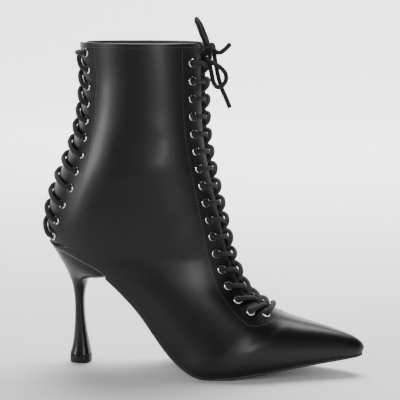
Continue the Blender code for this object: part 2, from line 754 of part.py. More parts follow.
def lace_keys(line, first_side):
    """Key points of one lace that zigzags from the first pair of eyelets to the last."""
    places = list(eyelet_places(line))
    strand = FRONT_STRAND
    if line == "back":
        places = places[::-1]
        strand = BACK_STRAND
    keys = []
    side = first_side
    over = 2 if first_side == MEDIAL else 3
    for k in range(len(places) - 1):
        for row in strand:
            t = places[k] + row[1] * (places[k + 1] - places[k])
            reach = -side * math.copysign(lace_reach(abs(row[0]), t, line), row[0])
            keys.append(place_on(t, reach, row[over], line))
        side = -side
    return keys, side, places


def knot_run(side, first_eyelet):
    """Key points of the lace from the knot to the top eyelet of one side."""
    keys = [knot_place() + spot for spot in knot_seat((-0.0018, side * 0.0028, -0.0022))]
    for share, place, height in KNOT_RUN:
        t = place * first_eyelet
        keys.append(place_on(t, side * lace_reach(share, t, "front"), height, "front"))
    return keys


def make_lacing(line, name, mat):
    """The lace of one opening: two zigzags that meet in a bar, joined where they cross."""
    first, side, places = lace_keys(line, LATERAL)
    second, other, _ = lace_keys(line, MEDIAL)
    if line == "front":
        first = knot_run(LATERAL, places[0]) + first
        second = knot_run(MEDIAL, places[0]) + second
    end = places[-1]
    bar = []
    for share, height in ((1.0, -0.0014), (0.99, 0.0022), (0.84, 0.0034), (0.4, 0.0029), (0.0, 0.0029)):
        reach = math.copysign(lace_reach(abs(share), end, line), side * share)
        bar.append(place_on(end, reach, height, line))
    for share, height in ((-0.4, 0.0029), (-0.84, 0.0034), (-0.99, 0.0022), (-1.0, -0.0014)):
        reach = math.copysign(lace_reach(abs(share), end, line), side * share)
        bar.append(place_on(end, reach, height, line))
    one = tube(name, smooth_path(first + bar, 1), LACE_THICK / 2, mat)
    two = tube(name + "_other_half", smooth_path(second + [bar[-1]], 1), LACE_THICK / 2, mat)
    boolean(one, two, "UNION")
    return one


def cord(name, keys, thick, mat):
    """A free cord along a smooth line, as a curve with a round section and filled ends."""
    line = smooth_path(keys, 6)
    far = along(line)
    count = max(4, min(80, int(far[-1] / (2.2 * thick)) + 1))
    spots = points_at(line, np.linspace(0, far[-1], count))
    data = bpy.data.curves.new(name, "CURVE")
    data.dimensions = "3D"
    data.bevel_depth = thick / 2
    data.bevel_resolution = 2
    data.use_fill_caps = True
    spline = data.splines.new("POLY")
    spline.points.add(count - 1)
    for k, spot in enumerate(spots):
        spline.points[k].co = (*map(float, spot), 1.0)
    obj = bpy.data.objects.new(name, data)
    bpy.context.scene.collection.objects.link(obj)
    data.materials.append(mat)
    return obj


# Points of the bow from the knot's middle, as shares of the lacing's first step: forward,
# to the inner side, and up.
KNOT_AT = (0.0015, 0.0, -0.0035)
BOW_CORDS = {
    "bow_loop_upright": (
        (-0.0020, -0.0016, 0.0048), (-0.0042, -0.0022, 0.0110), (-0.0062, -0.0022, 0.0165),
        (-0.0080, -0.0012, 0.0205), (-0.0073, 0.0010, 0.0212), (-0.0048, 0.0022, 0.0165),
        (-0.0022, 0.0024, 0.0110), (-0.0004, 0.0016, 0.0050),
    ),
    "bow_loop_round": (
        (0.0046, -0.0026, -0.0040), (0.0068, -0.0050, -0.0078), (0.0118, -0.0080, -0.0122),
        (0.0155, -0.0096, -0.0165), (0.0162, -0.0098, -0.0215), (0.0136, -0.0090, -0.0265),
        (0.0090, -0.0078, -0.0285), (0.0052, -0.0066, -0.0250), (0.0034, -0.0056, -0.0180),
        (0.0026, -0.0042, -0.0100), (0.0018, -0.0024, -0.0068),
    ),
    "bow_end_short": (
        (0.0046, -0.0008, 0.0000), (0.0072, -0.0022, -0.0024), (0.0100, -0.0034, -0.0034),
        (0.0140, -0.0046, -0.0008), (0.0175, -0.0058, 0.0026),
    ),
    "bow_end_long": (
        (0.0026, 0.0019, -0.0066), (0.0058, 0.0012, -0.0130), (0.0084, -0.0004, -0.0220),
        (0.0112, -0.0018, -0.0300), (0.0146, -0.0030, -0.0370), (0.0172, -0.0036, -0.0430),
    ),
}


def knot_place():
    """Middle of the knot, in front of the tongue at the collar."""
    front = section_values(0.0)
    x = front["front_x"] * BOOT_LENGTH - HEEL_SETBACK
    return np.array([x, 0.0, BOOT_HEIGHT]) + np.array(KNOT_AT)


def knot_seat(key):
    """Where a cord that heads for this point meets the knot, and a point straight out from there."""
    half = np.array([KNOT_LENGTH, KNOT_WIDTH, KNOT_TALL]) / 2
    spot = np.array(key) / np.linalg.norm(np.array(key) / half)
    out = spot / half ** 2
    out = out / np.linalg.norm(out)
    return spot + out * FIT_GAP, spot + out * (FIT_GAP + BOW_THICK / 2)


def make_bow(mat):
    """The knot, its two loops and its two ends."""
    middle = knot_place()
    points, faces = [], []
    rings, count = 7, 10
    for r in range(rings):
        polar = math.pi * (r + 0.5) / rings
        for k in range(count):
            angle = 2 * math.pi * k / count
            points.append(middle + np.array([
                KNOT_LENGTH / 2 * math.sin(polar) * math.cos(angle),
                KNOT_WIDTH / 2 * math.sin(polar) * math.sin(angle),
                KNOT_TALL / 2 * math.cos(polar),
            ]))
    for r in range(rings - 1):
        for k in range(count):
            m = (k + 1) % count
            faces.append([r * count + k, r * count + m, (r + 1) * count + m, (r + 1) * count + k])
    faces.append(list(range(count)))
    faces.append([(rings - 1) * count + k for k in reversed(range(count))])
    solid("bow_knot", points, faces, mat)
    for name, keys in BOW_CORDS.items():
        route = [*knot_seat(keys[0]), *keys[1:]]
        if "loop" in name:
            route[-1:] = reversed(knot_seat(keys[-1]))
        cord(name, [middle + np.array(key) for key in route], BOW_THICK, mat)


def make_eyelets(mat):
    """The metal eyelets of the front facings."""
    profile = (
        (EYELET_INNER / 2, FIT_GAP + EYELET_RISE),
        (EYELET_OUTER / 2 - 0.0003, FIT_GAP + EYELET_RISE),
        (EYELET_OUTER / 2, FIT_GAP),
        (EYELET_INNER / 2, FIT_GAP),
    )
    for word, side in (("outer", LATERAL), ("inner", MEDIAL)):
        for k, t in enumerate(eyelet_places("front")):
            place, out, down = surface_frame(t, side * eyelet_line(t, "front"), "front")
            spot = place + out * FACING_STEP
            turned(f"eyelet_{word}_{k + 1:02d}", profile, spot, out, mat)


def main():
    clear_scene()
    leather = material("black_leather", (0.018, 0.018, 0.020), 0.34)
    lining = material("lining_leather", (0.030, 0.028, 0.027), 0.62)
    covered = material("heel_cover", (0.012, 0.012, 0.014), 0.22)
    sole = material("sole_black", (0.020, 0.019, 0.018), 0.48)
    rubber = material("lift_rubber", (0.016, 0.016, 0.016), 0.60)
    cotton = material("lace_cord", (0.035, 0.036, 0.038), 0.80)
    metal = material("eyelet_metal", (0.80, 0.80, 0.81), 0.22, 1.0)
    make_upper(leather)
    make_outsole(sole)
    make_insole(lining)
    make_heel(covered)
    make_lift(rubber)
    make_tongue(leather)
    make_back_panel(leather)
    make_lacing("front", "front_lacing", cotton)
    make_lacing("back", "back_lacing", cotton)
    make_eyelets(metal)
    make_bow(cotton)


main()
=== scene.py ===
"""Looks of a high lace-up ankle boot for the right foot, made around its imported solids.

Metres, +Z up, toe towards +X, outer side at -Y. Every section of the leather lies in a plane that
holds the Y direction and runs from a point on the back or bottom line to a point on the front
line, so that the planes fan from level at the collar to nearly upright at the toe.
"""

import itertools
import math

import bmesh
import bpy
import numpy as np
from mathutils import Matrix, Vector


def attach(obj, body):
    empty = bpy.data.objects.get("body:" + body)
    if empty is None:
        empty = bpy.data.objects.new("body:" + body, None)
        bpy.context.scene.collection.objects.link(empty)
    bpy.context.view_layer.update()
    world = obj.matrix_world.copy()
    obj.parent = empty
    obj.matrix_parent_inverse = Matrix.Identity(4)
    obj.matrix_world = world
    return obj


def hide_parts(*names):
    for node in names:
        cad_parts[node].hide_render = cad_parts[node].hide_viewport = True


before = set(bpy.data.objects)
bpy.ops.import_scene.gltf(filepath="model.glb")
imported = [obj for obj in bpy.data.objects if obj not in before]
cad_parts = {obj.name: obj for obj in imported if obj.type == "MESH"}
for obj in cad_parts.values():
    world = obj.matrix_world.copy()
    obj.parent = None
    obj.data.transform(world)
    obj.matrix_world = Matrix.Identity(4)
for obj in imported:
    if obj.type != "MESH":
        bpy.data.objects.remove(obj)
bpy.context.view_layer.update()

# Sizes of the boot
BOOT_LENGTH = 0.2416
BOOT_HEIGHT = 0.2460
SEAT_HEIGHT = 0.0953
BALL_WIDTH = 0.0785
HEEL_SETBACK = 0.0238
UPPER_WALL = 0.0022
PANEL_STEP = 0.0005
SEAM_WIDTH = 0.0004
SOLE_THICK = 0.0023
SOLE_MARGIN = 0.0006
INSOLE_THICK = 0.0016
FIT_GAP = 0.0003
THROAT_HALF = 0.0093
BACK_SLIT_HALF = 0.0062
FRONT_CORNER = 0.0065
BACK_CORNER = 0.0040
PANEL_LAP = 0.0062
BACK_PANEL_LAP = 0.0080
PANEL_THICK = 0.0018
PANEL_INSET = 0.0063
LACE_THICK = 0.0036
BOW_THICK = 0.0034
FRONT_EYELETS = 17
EYELET_OUTER = 0.0068
EYELET_INNER = 0.0040
FRONT_EYELET_REACH = 0.0190
BACK_EYELETS = 12
# Rows, and the back eyelets' distance from the back line there: the facing is widest over the ankle
BACK_EYELET_REACHES = (
    (0.3, 0.0208), (1.2, 0.0200), (2.5, 0.0228), (4.0, 0.0290), (5.5, 0.0334), (6.8, 0.0286), (8.4, 0.0188),
)
BEAD_THICK = 0.0009
COLLAR_STITCH_ROW = 0.11
LIFT_LENGTH = 0.0166
LIFT_WIDTH = 0.0150
LIFT_THICK = 0.0058

# One row a section, from the collar down and forward to the toe. The columns are shares of the
# boot's length, height and ball width, as the names say.
COLUMNS = (
    "front_x", "front_z", "low_x", "low_z", "wide_out", "wide_in", "sole_out", "sole_in",
    "widest", "under", "full", "shift", "back_seam", "front_seam",
)
SECTIONS = np.array((
    (0.5037, 1.0000, 0.1122, 2.0000, 0.420, 0.420, 0, 0, 0.50, 0.5, 2.00, 0, 0.38, 0.325),
    (0.5054, 0.9024, 0.1209, 1.8341, 0.405, 0.405, 0, 0, 0.50, 0.5, 2.02, 0, 0.37, 0.325),
    (0.5066, 0.8130, 0.1126, 1.6815, 0.399, 0.399, 0, 0, 0.49, 0.5, 2.05, 0, 0.38, 0.320),
    (0.5099, 0.7398, 0.0969, 1.5687, 0.404, 0.404, 0, 0, 0.48, 0.5, 2.08, 0, 0.42, 0.315),
    (0.5182, 0.6789, 0.0737, 1.4625, 0.413, 0.413, 0, 0, 0.46, 0.5, 2.12, 0, 0.47, 0.310),
    (0.5298, 0.6179, 0.0439, 1.3597, 0.418, 0.418, 0, 0, 0.43, 0.5, 2.16, 0, 0.52, 0.305),
    (0.5455, 0.5528, 0.0182, 1.2568, 0.411, 0.411, 0, 0, 0.39, 0.5, 2.20, 0, 0.52, 0.305),
    (0.5613, 0.4878, 0.0033, 1.1573, 0.401, 0.401, 0, 0, 0.35, 0.5, 2.25, 0, 0.48, 0.305),
    (0.5757, 0.4248, 0.0000, 1.0710, 0.385, 0.385, 0, 0, 0.32, 0.5, 2.30, 0, 0.41, 0.305),
    (0.5886, 0.3720, 0.0091, 1.0000, 0.364, 0.364, 0, 0, 0.30, 0.5, 2.33, 0, 0.31, 0.310),
    (0.5935, 0.3557, 0.0145, 0.9958, 0.359, 0.357, 0.088, 0.086, 0.29, 0.54, 2.34, 0, 0.19, 0.312),
    (0.5993, 0.3394, 0.0290, 0.9832, 0.354, 0.350, 0.168, 0.164, 0.28, 0.59, 2.36, 0, 0.09, 0.318),
    (0.6093, 0.3130, 0.0633, 0.9538, 0.350, 0.344, 0.250, 0.243, 0.28, 0.57, 2.38, 0, 0.00, 0.330),
    (0.6258, 0.2748, 0.1233, 0.8909, 0.349, 0.339, 0.306, 0.293, 0.30, 0.58, 2.38, 0, 0.00, 0.350),
    (0.6490, 0.2407, 0.2061, 0.7765, 0.352, 0.339, 0.321, 0.298, 0.34, 0.70, 2.35, 0, 0.00, 0.375),
    (0.6755, 0.2195, 0.3079, 0.5205, 0.377, 0.357, 0.311, 0.275, 0.38, 0.85, 2.28, 0, 0.00, 0.395),
    (0.7028, 0.2033, 0.4172, 0.1742, 0.438, 0.423, 0.380, 0.349, 0.36, 1.00, 2.20, 0, 0.00, 0.400),
    (0.7297, 0.1882, 0.5000, 0.0367, 0.487, 0.492, 0.456, 0.459, 0.24, 1.00, 2.15, 0.003, 0, 0.400),
    (0.7587, 0.1748, 0.5869, 0.0265, 0.474, 0.518, 0.454, 0.496, 0.18, 1.00, 2.12, 0.008, 0, 0.400),
    (0.7939, 0.1638, 0.6656, 0.0483, 0.410, 0.478, 0.392, 0.458, 0.16, 1.00, 2.10, 0.013, 0, 0.400),
    (0.8353, 0.1533, 0.7401, 0.0756, 0.331, 0.394, 0.313, 0.374, 0.15, 1.00, 2.10, 0.020, 0, 0.400),
    (0.8808, 0.1419, 0.8104, 0.1028, 0.250, 0.299, 0.234, 0.281, 0.15, 1.00, 2.10, 0.027, 0, 0.400),
    (0.9243, 0.1293, 0.8767, 0.1280, 0.181, 0.212, 0.168, 0.197, 0.16, 1.00, 2.08, 0.032, 0, 0.400),
    (0.9574, 0.1179, 0.9263, 0.1469, 0.132, 0.149, 0.122, 0.138, 0.18, 1.00, 2.05, 0.035, 0, 0.400),
    (0.9801, 0.1065, 0.9619, 0.1595, 0.092, 0.100, 0.084, 0.092, 0.22, 0.90, 2.0, 0.037, 0, 0.400),
    (0.9942, 0.0943, 0.9843, 0.1679, 0.054, 0.058, 0.047, 0.051, 0.28, 0.80, 2.0, 0.038, 0, 0.400),
    (1.0000, 0.0829, 0.9950, 0.1742, 0, 0, 0, 0, 0.40, 0.70, 2.0, 0.038, 0, 0.400),
))
AT_SEAT, AT_SEAT_MID, AT_BREAST, AT_TIP = 9.0, 12.0, 14.0, 26.0
SLIT_ROUND_FROM, SLIT_END = 8.30, 8.80
THROAT_ROUND_FROM, THROAT_END = 14.9, 16.6
SEAM_ROUND_FROM, SEAM_END = 16.15, 17.55
EYELET_ROUND_FROM, EYELET_ROUND_TO = 15.4, 16.75
FIRST_FRONT_EYELET, LAST_FRONT_EYELET = 0.58, 16.42
FIRST_BACK_EYELET, LAST_BACK_EYELET = 0.28, 8.38
LATERAL, MEDIAL = -1, 1

# Where the camera stands and what it looks at, judged from the photograph
AIM = Vector((0.0939, 0.0, 0.1288))
VIEW_AZIMUTH = 10.0
VIEW_ELEVATION = 9.0
VIEW_DISTANCE = 1.0


def place_camera():
    """The camera at the photograph's angle."""
    turn, rise = math.radians(VIEW_AZIMUTH), math.radians(VIEW_ELEVATION)
    back = Vector((math.sin(turn) * math.cos(rise), -math.cos(turn) * math.cos(rise), math.sin(rise)))
    data = bpy.data.cameras.new("camera")
    data.lens = 120
    data.sensor_width = 36
    data.clip_start, data.clip_end = 0.05, 120
    camera = bpy.data.objects.new("camera", data)
    camera.location = AIM + back * VIEW_DISTANCE
    camera.rotation_mode = "QUATERNION"
    camera.rotation_quaternion = (-back).to_track_quat("-Z", "Y")
    bpy.context.scene.collection.objects.link(camera)
    bpy.context.scene.camera = camera


# Materials


class Wire:
    """A socket's value, so that a finish's sums are written as plain expressions."""

    def __init__(self, finish, socket):
        self.finish = finish
        self.socket = socket

    def maths(self, operation, *values):
        return self.finish.maths(operation, *values)

    def __add__(self, other):
        return self.maths("ADD", self, other)

    def __sub__(self, other):
        return self.maths("SUBTRACT", self, other)

    def __rsub__(self, other):
        return self.maths("SUBTRACT", other, self)

    def __mul__(self, other):
        return self.maths("MULTIPLY", self, other)

    def __pow__(self, other):
        return self.maths("POWER", self, other)

    def __abs__(self):
        return self.maths("ABSOLUTE", self)

    def sine(self):
        return self.maths("SINE", self)

    def within(self, low, high):
        """0 below low, 1 above high, and a straight run between them."""
        return self.finish.node(
            "MapRange", {"clamp": True}, {"Value": self, "From Min": low, "From Max": high}
        )

    __radd__ = __add__
    __rmul__ = __mul__


class Finish:
    """A material under construction."""

    def __init__(self, name, **sockets):
        self.material = bpy.data.materials.new(name)
        self.material.use_nodes = True
        self.tree = self.material.node_tree
        self.shader = self.tree.nodes["Principled BSDF"]
        self.drive(**sockets)

    def set(self, socket, value):
        if isinstance(value, Wire):
            self.tree.links.new(value.socket, socket)
        elif socket.type == "RGBA" and len(value) == 3:
            socket.default_value = (*value, 1.0)
        else:
            socket.default_value = value

    def node(self, kind, settings, sockets, out=0):
        made = self.tree.nodes.new("ShaderNode" + kind)
        for name, value in settings.items():
            setattr(made, name, value)
        for name, value in sockets.items():
            self.set(made.inputs[name], value)
        return Wire(self, made.outputs[out])

    def maths(self, operation, *values):
        return self.node("Math", {"operation": operation}, dict(enumerate(values)))

    def place(self):
        """The point on the piece, in metres."""
        return self.node("TexCoord", {}, {}, "Object")

    def noise(self, where, scale, detail=2.0, rough=0.5):
        sockets = {"Vector": where, "Scale": scale, "Detail": detail, "Roughness": rough}
        return self.node("TexNoise", {}, sockets, "Fac")

    def cells(self, where, scale):
        """Distance from the edges between small cells."""
        sockets = {"Vector": where, "Scale": scale}
        return self.node("TexVoronoi", {"feature": "DISTANCE_TO_EDGE"}, sockets, "Distance")

    def mark(self, name):
        """A number that the mesh carries at its points."""
        return self.node("Attribute", {"attribute_name": name}, {}, "Fac")

    def blend(self, share, one, two):
        """Two colours mixed; the numbers are the colour sockets of the Mix node."""
        return self.node("Mix", {"data_type": "RGBA"}, {0: share, 6: one, 7: two}, 2)

    def bump(self, height, depth):
        return self.node("Bump", {}, {"Height": height, "Distance": depth, "Strength": 1.0})

    def drive(self, **sockets):
        """Sets the shader's own sockets, named in small letters."""
        for name, value in sockets.items():
            self.set(self.shader.inputs[name.replace("_", " ").title().replace("Ior", "IOR")], value)
        return self.material


CUT_EDGE_COLOUR = (0.045, 0.045, 0.047)


def smooth_leather(name, dark, light, gloss, grain, coat=0.0, faced=False):
    """Black leather with a fine grain, a few soft clouds in its gloss and paler edges.

    Where it is faced, its facings have no coat.
    """
    finish = Finish(name, specular_ior_level=0.28, coat_roughness=0.18, coat_ior=1.3)
    where = finish.place()
    clouds = finish.noise(where, 38, 3)
    fine = finish.noise(where, 900, 4, 0.6)
    pores = finish.cells(where, 1500).within(0.0, 0.30)
    facing = finish.mark("facing")
    edge = finish.mark("edge")
    shade = (clouds * 0.5 + fine * 0.5).within(0.30, 0.72)
    colour = finish.blend(edge.within(0.1, 1.0) * 0.55, finish.blend(shade, dark, light), CUT_EDGE_COLOUR)
    rough = clouds.within(0.25, 0.75) * 0.07 + fine * 0.05 + (gloss - 0.05) + facing * 0.02 + edge * 0.10
    bump = finish.bump(pores * 0.5 + fine * 0.5, grain)
    if faced:
        coat = coat * (1 - facing)
    return finish.drive(base_color=colour, roughness=rough, normal=bump, coat_weight=coat)


def plain_finish(name, colours, patches, shine, grain, **shader):
    """Two close colours in soft patches, which change the shine too, over a fine grain.

    The patches are a scale, a detail, and where the second colour starts and is full; the shine is
    the least roughness and what the patches add; the grain is a scale, a detail and a depth.
    """
    finish = Finish(name, **shader)
    where = finish.place()
    scale, detail, start, full = patches
    cloud = finish.noise(where, scale, detail)
    rough, more = shine
    scale, detail, depth = grain
    fine = finish.noise(where, scale, detail)
    return finish.drive(
        base_color=finish.blend(cloud.within(start, full), *colours), roughness=rough + cloud * more,
        normal=finish.bump(fine, depth),
    )


def lining_finish():
    """Plain black lining leather, a little paler and duller than the outside."""
    colours = (0.016, 0.016, 0.017), (0.026, 0.025, 0.025)
    return plain_finish("lining_leather", colours, (60, 3, 0.3, 0.7), (0.52, 0.12), (1400, 3, 0.00012),
                        specular_ior_level=0.4)


def heel_finish():
    """Black covering of the heel, with a soft shine."""
    colours = (0.003, 0.003, 0.0035), (0.005, 0.005, 0.0055)
    return plain_finish("heel_cover", colours, (70, 2, 0.3, 0.7), (0.27, 0.08), (240, 2, 0.00003),
                        specular_ior_level=0.30, coat_weight=0.08, coat_roughness=0.15)


def rubber_finish():
    """Hard black rubber of the top lift."""
    colours = (0.004, 0.004, 0.004), (0.008, 0.008, 0.008)
    return plain_finish("lift_rubber", colours, (300, 3, 0.4, 0.7), (0.38, 0.16), (1500, 3, 0.00004),
                        specular_ior_level=0.25)


def metal_finish():
    """Bright silver plate of the eyelets."""
    colours = (0.80, 0.80, 0.81), (0.62, 0.62, 0.63)
    return plain_finish("eyelet_metal", colours, (420, 3, 0.35, 0.75), (0.14, 0.16), (1800, 3, 0.00003),
                        metallic=1.0)


def sole_finish():
    """Thin black sole, satin at its edge and scuffed a little underneath."""
    finish = Finish("sole_black", specular_ior_level=0.45)
    where = finish.place()
    stretched = finish.node("Mapping", {}, {"Vector": where, "Scale": (1.0, 5.0, 1.0)})
    streaks = finish.noise(stretched, 160, 4, 0.65)
    fine = finish.noise(where, 1100, 3)
    colour = finish.blend(streaks.within(0.35, 0.75), (0.010, 0.010, 0.010), (0.024, 0.023, 0.022))
    rough = 0.38 + streaks.within(0.3, 0.8) * 0.22
    bump = finish.bump(fine * 0.6 + streaks, 0.00008)
    return finish.drive(base_color=colour, roughness=rough, normal=bump)


def cord_finish():
    """Round braided cotton cord, its strands crossing round it, with painted shade in the grooves between
    them.
    """
    finish = Finish("lace_cord", specular_ior_level=0.25, sheen_weight=0.04, sheen_roughness=0.5)
    around = finish.mark("around") * (8 * math.pi)
    run = finish.mark("run") * (math.pi / 0.00085)
    one = abs((around + run).sine())
    two = abs((around - run).sine())
    braid_and_groove_shade = (one * two) ** 0.7
    fuzz = finish.noise(finish.place(), 2600, 3)
    # The colour follows the braid's relief: painted shade darkens the grooves between the strands, and the
    # fuzz adds random tone
    colour = finish.blend(
        (braid_and_groove_shade * 0.75 + fuzz * 0.25).within(0.1, 0.9), (0.004, 0.004, 0.0045), (0.017, 0.017, 0.0185)
    )
    return finish.drive(
        base_color=colour, roughness=0.62 + fuzz * 0.2, normal=finish.bump(braid_and_groove_shade + fuzz * 0.35, 0.00022)
    )


def thread_finish():
    """Waxed black sewing thread, paler than the leather, with painted shade in the grooves of its twist."""
    finish = Finish("stitch_thread", specular_ior_level=0.5, sheen_weight=0.2)
    sockets = {"Vector": finish.place(), "Scale": 900.0}
    twist_and_groove_shade = finish.node("TexWave", {"bands_direction": "DIAGONAL"}, sockets, "Fac")
    # The colour follows the twist's relief: painted shade darkens its grooves
    colour = finish.blend(twist_and_groove_shade, (0.010, 0.010, 0.011), (0.030, 0.030, 0.032))
    return finish.drive(base_color=colour, roughness=0.42 + twist_and_groove_shade * 0.1, normal=finish.bump(twist_and_groove_shade, 0.00006))


# The leather's surface


def section_values(t):
    """Every column of the table at a place between its rows, run smoothly from row to row."""
    last = len(SECTIONS) - 1
    i = int(min(max(math.floor(t), 0), last - 1))
    u = t - i
    one, two = SECTIONS[i], SECTIONS[i + 1]
    before = SECTIONS[i - 1] if i > 0 else 2 * one - two
    after = SECTIONS[i + 2] if i + 2 <= last else 2 * two - one
    value = (
        (2 * u**3 - 3 * u**2 + 1) * one
        + (u**3 - 2 * u**2 + u) * (two - before) / 2
        + (3 * u**2 - 2 * u**3) * two
        + (u**3 - u**2) * (after - one) / 2
    )
    return dict(zip(COLUMNS, value))


def lower_height(share):
    """Height of a back or bottom point: up to 1 a share of the seat's height, then of the rest."""
    return SEAT_HEIGHT * min(share, 1.0) + (BOOT_HEIGHT - SEAT_HEIGHT) * max(share - 1.0, 0.0)


def section_ends(t):
    """The back or bottom point and the front point of a section, as x and z."""
    row = section_values(t)
    low = np.array([row["low_x"] * BOOT_LENGTH - HEEL_SETBACK, lower_height(row["low_z"])])
    top = np.array([row["front_x"] * BOOT_LENGTH - HEEL_SETBACK, row["front_z"] * BOOT_HEIGHT])
    return row, low, top


def side_curve(t, side, count=110):
    """Points of one side of a section, from the back or bottom point up to the front line."""
    row, low, top = section_ends(t)
    wide = max(row["wide_in" if side > 0 else "wide_out"], 0.0) * BALL_WIDTH
    sole = max(row["sole_in" if side > 0 else "sole_out"], 0.0) * BALL_WIDTH
    if t <= AT_SEAT:
        sole = 0.0
    turn = np.linspace(0, math.pi / 2, count)
    lower_share = row["widest"] * (1 - np.cos(turn))
    lower_width = sole + (wide - sole) * np.sin(turn) ** (2 * row["under"])
    upper_share = row["widest"] + (1 - row["widest"]) * np.sin(turn[1:]) ** (2 / row["full"])
    upper_width = wide * np.maximum(np.cos(turn[1:]), 0) ** (2 / row["full"])
    upper_width[-1] = 0.0
    share = np.concatenate([lower_share, upper_share])
    spine = low + share[:, None] * (top - low)
    across = row["shift"] * BALL_WIDTH + side * np.concatenate([lower_width, upper_width])
    return np.column_stack([spine[:, 0], across, spine[:, 1]])


def along(curve):
    """Distance along a curve at each of its points."""
    return np.concatenate([[0.0], np.cumsum(np.linalg.norm(np.diff(curve, axis=0), axis=1))])


def points_at(curve, where):
    """Points of a curve at distances along it."""
    far = along(curve)
    return np.column_stack([np.interp(where, far, curve[:, k]) for k in range(3)])


def even(curve, step):
    """The curve's points again, a step apart."""
    far = along(curve)
    return points_at(curve, np.linspace(0, far[-1], max(int(far[-1] / step), 2) + 1))


def rounded(t, start, end, half):
    """A half width that stays the same to a row and then rounds off to nothing."""
    share = min(max((t - start) / (end - start), 0.0), 1.0)
    return half * math.sqrt(1.0 - share * share)


def corner(t, radius, end):
    """How far a rounded corner at the collar cuts back from an opening's edge."""
    _, low, top = section_ends(t)
    _, low_rim, top_rim = section_ends(0.0)
    drop = np.linalg.norm(top - top_rim) if end == "front" else np.linalg.norm(low - low_rim)
    if drop >= radius:
        return 0.0
    return radius - math.sqrt(radius**2 - (radius - drop) ** 2)


def throat_half(t):
    return rounded(t, THROAT_ROUND_FROM, THROAT_END, THROAT_HALF) + corner(t, FRONT_CORNER, "front")


def slit_half(t):
    return rounded(t, SLIT_ROUND_FROM, SLIT_END, BACK_SLIT_HALF) + corner(t, BACK_CORNER, "back")


def front_seam(t):
    """Distance of the front facing's seam from the front line."""
    return rounded(t, SEAM_ROUND_FROM, SEAM_END, section_values(t)["front_seam"] * BALL_WIDTH)


def back_seam(t):
    """Distance of the back facing's seam from the back line."""
    return 0.0 if t >= AT_SEAT_MID else max(section_values(t)["back_seam"] * BALL_WIDTH, 0.0)


def surface_point(t, reach, line):
    """A point of the outer surface, at a signed distance from the front or the back line."""
    curve = side_curve(t, MEDIAL if reach > 0 else LATERAL)
    length = along(curve)[-1]
    return points_at(curve, [length - abs(reach) if line == "front" else abs(reach)])[0]


def surface_frame(t, reach, line):
    """Point, outward direction and the direction down the rows at a place on the surface."""
    step = 0.0006
    point = surface_point(t, reach, line)
    over = surface_point(t, reach + step, line) - surface_point(t, reach - step, line)
    down = surface_point(t + 0.03, reach, line) - surface_point(max(t - 0.03, 0.0), reach, line)
    out = np.cross(over, down)
    out /= np.linalg.norm(out)
    _, low, top = section_ends(t)
    middle = np.array([(low[0] + top[0]) / 2, 0.0, (low[1] + top[1]) / 2])
    if np.dot(out, point - middle) < 0:
        out = -out
    return point, out, down / np.linalg.norm(down)


def place_on(t, reach, height, line):
    """A point at a height over the leather."""
    point, out, _ = surface_frame(t, reach, line)
    return point + out * height


def even_rows(start, end, step):
    """Places along the table that lie a step apart over the leather, where it runs furthest."""
    places = np.linspace(start, end, 2400)
    ends = [section_ends(t)[1:] for t in places]
    low = along(np.array([e[0] for e in ends]))
    top = along(np.array([e[1] for e in ends]))
    far = np.concatenate([[0.0], np.cumsum(np.maximum(np.diff(low), np.diff(top)))])
    return np.interp(np.linspace(0, far[-1], int(far[-1] / step) + 1), far, places)


def arc_rows(start, end, steps):
    """Places that crowd towards a rounded end."""
    return [start + (end - start) * math.sin(math.pi / 2 * k / steps) for k in range(steps + 1)]


def eyelet_line(t, line):
    """Distance of the eyelets from the front or the back line."""
    if line == "front":
        wide = FRONT_EYELET_REACH * (1 + 0.18 * min(max((t - 12) / 3, 0), 1))
        return rounded(t, EYELET_ROUND_FROM, EYELET_ROUND_TO, wide)
    rows, reaches = zip(*BACK_EYELET_REACHES)
    return float(np.interp(t, rows, reaches))


def eyelet_places(line):
    """Rows of the eyelets: even steps over the leather in front, even steps of height at the back."""
    if line == "front":
        rows = np.linspace(FIRST_FRONT_EYELET, LAST_FRONT_EYELET, 90)
        far = along(np.array([surface_point(t, -eyelet_line(t, line), line) for t in rows]))
        return np.interp(np.linspace(0, far[-1], FRONT_EYELETS), far, rows)
    rows = np.linspace(FIRST_BACK_EYELET, LAST_BACK_EYELET, 90)
    drop = np.array([BOOT_HEIGHT - section_ends(t)[1][1] for t in rows])
    return np.interp(np.linspace(drop[0], drop[-1], BACK_EYELETS), drop, rows)


EYELETS = {line: eyelet_places(line) for line in ("front", "back")}


# Meshes


def raw_mesh(name, points, faces):
    mesh = bpy.data.meshes.new(name)
    mesh.from_pydata([tuple(map(float, p)) for p in points], [], faces)
    return mesh


def riding(mesh, replaced, sharp, join=False):
    """The mesh as a piece of the boot, riding on the boot's one body; doubled points are joined when join
    is set.
    """
    made = bmesh.new()
    made.from_mesh(mesh)
    if join:
        bmesh.ops.remove_doubles(made, verts=made.verts, dist=1e-7)
    bmesh.ops.recalc_face_normals(made, faces=made.faces)
    made.to_mesh(mesh)
    made.free()
    mesh.shade_smooth()
    mesh.set_sharp_from_angle(angle=math.radians(sharp))
    obj = bpy.data.objects.new(mesh.name, mesh)
    bpy.context.scene.collection.objects.link(obj)
    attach(obj, "root")
    if replaced:
        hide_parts(*replaced)
    return obj


def piece(name, points, faces, finishes, replaced=(), which=None, sharp=40):
    """A piece of the boot from points and faces; which gives each face's finish by its number."""
    mesh = raw_mesh(name, points, faces)
    for finish in finishes:
        mesh.materials.append(finish)
    if which is not None:
        mesh.polygons.foreach_set("material_index", np.array(which, np.int32))
    return riding(mesh, replaced, sharp)


def carry(obj, name, values):
    """Gives each point of a mesh a number that its material reads."""
    made = obj.data.attributes.new(name, "FLOAT", "POINT")
    made.data.foreach_set("value", np.array(values, np.float32))


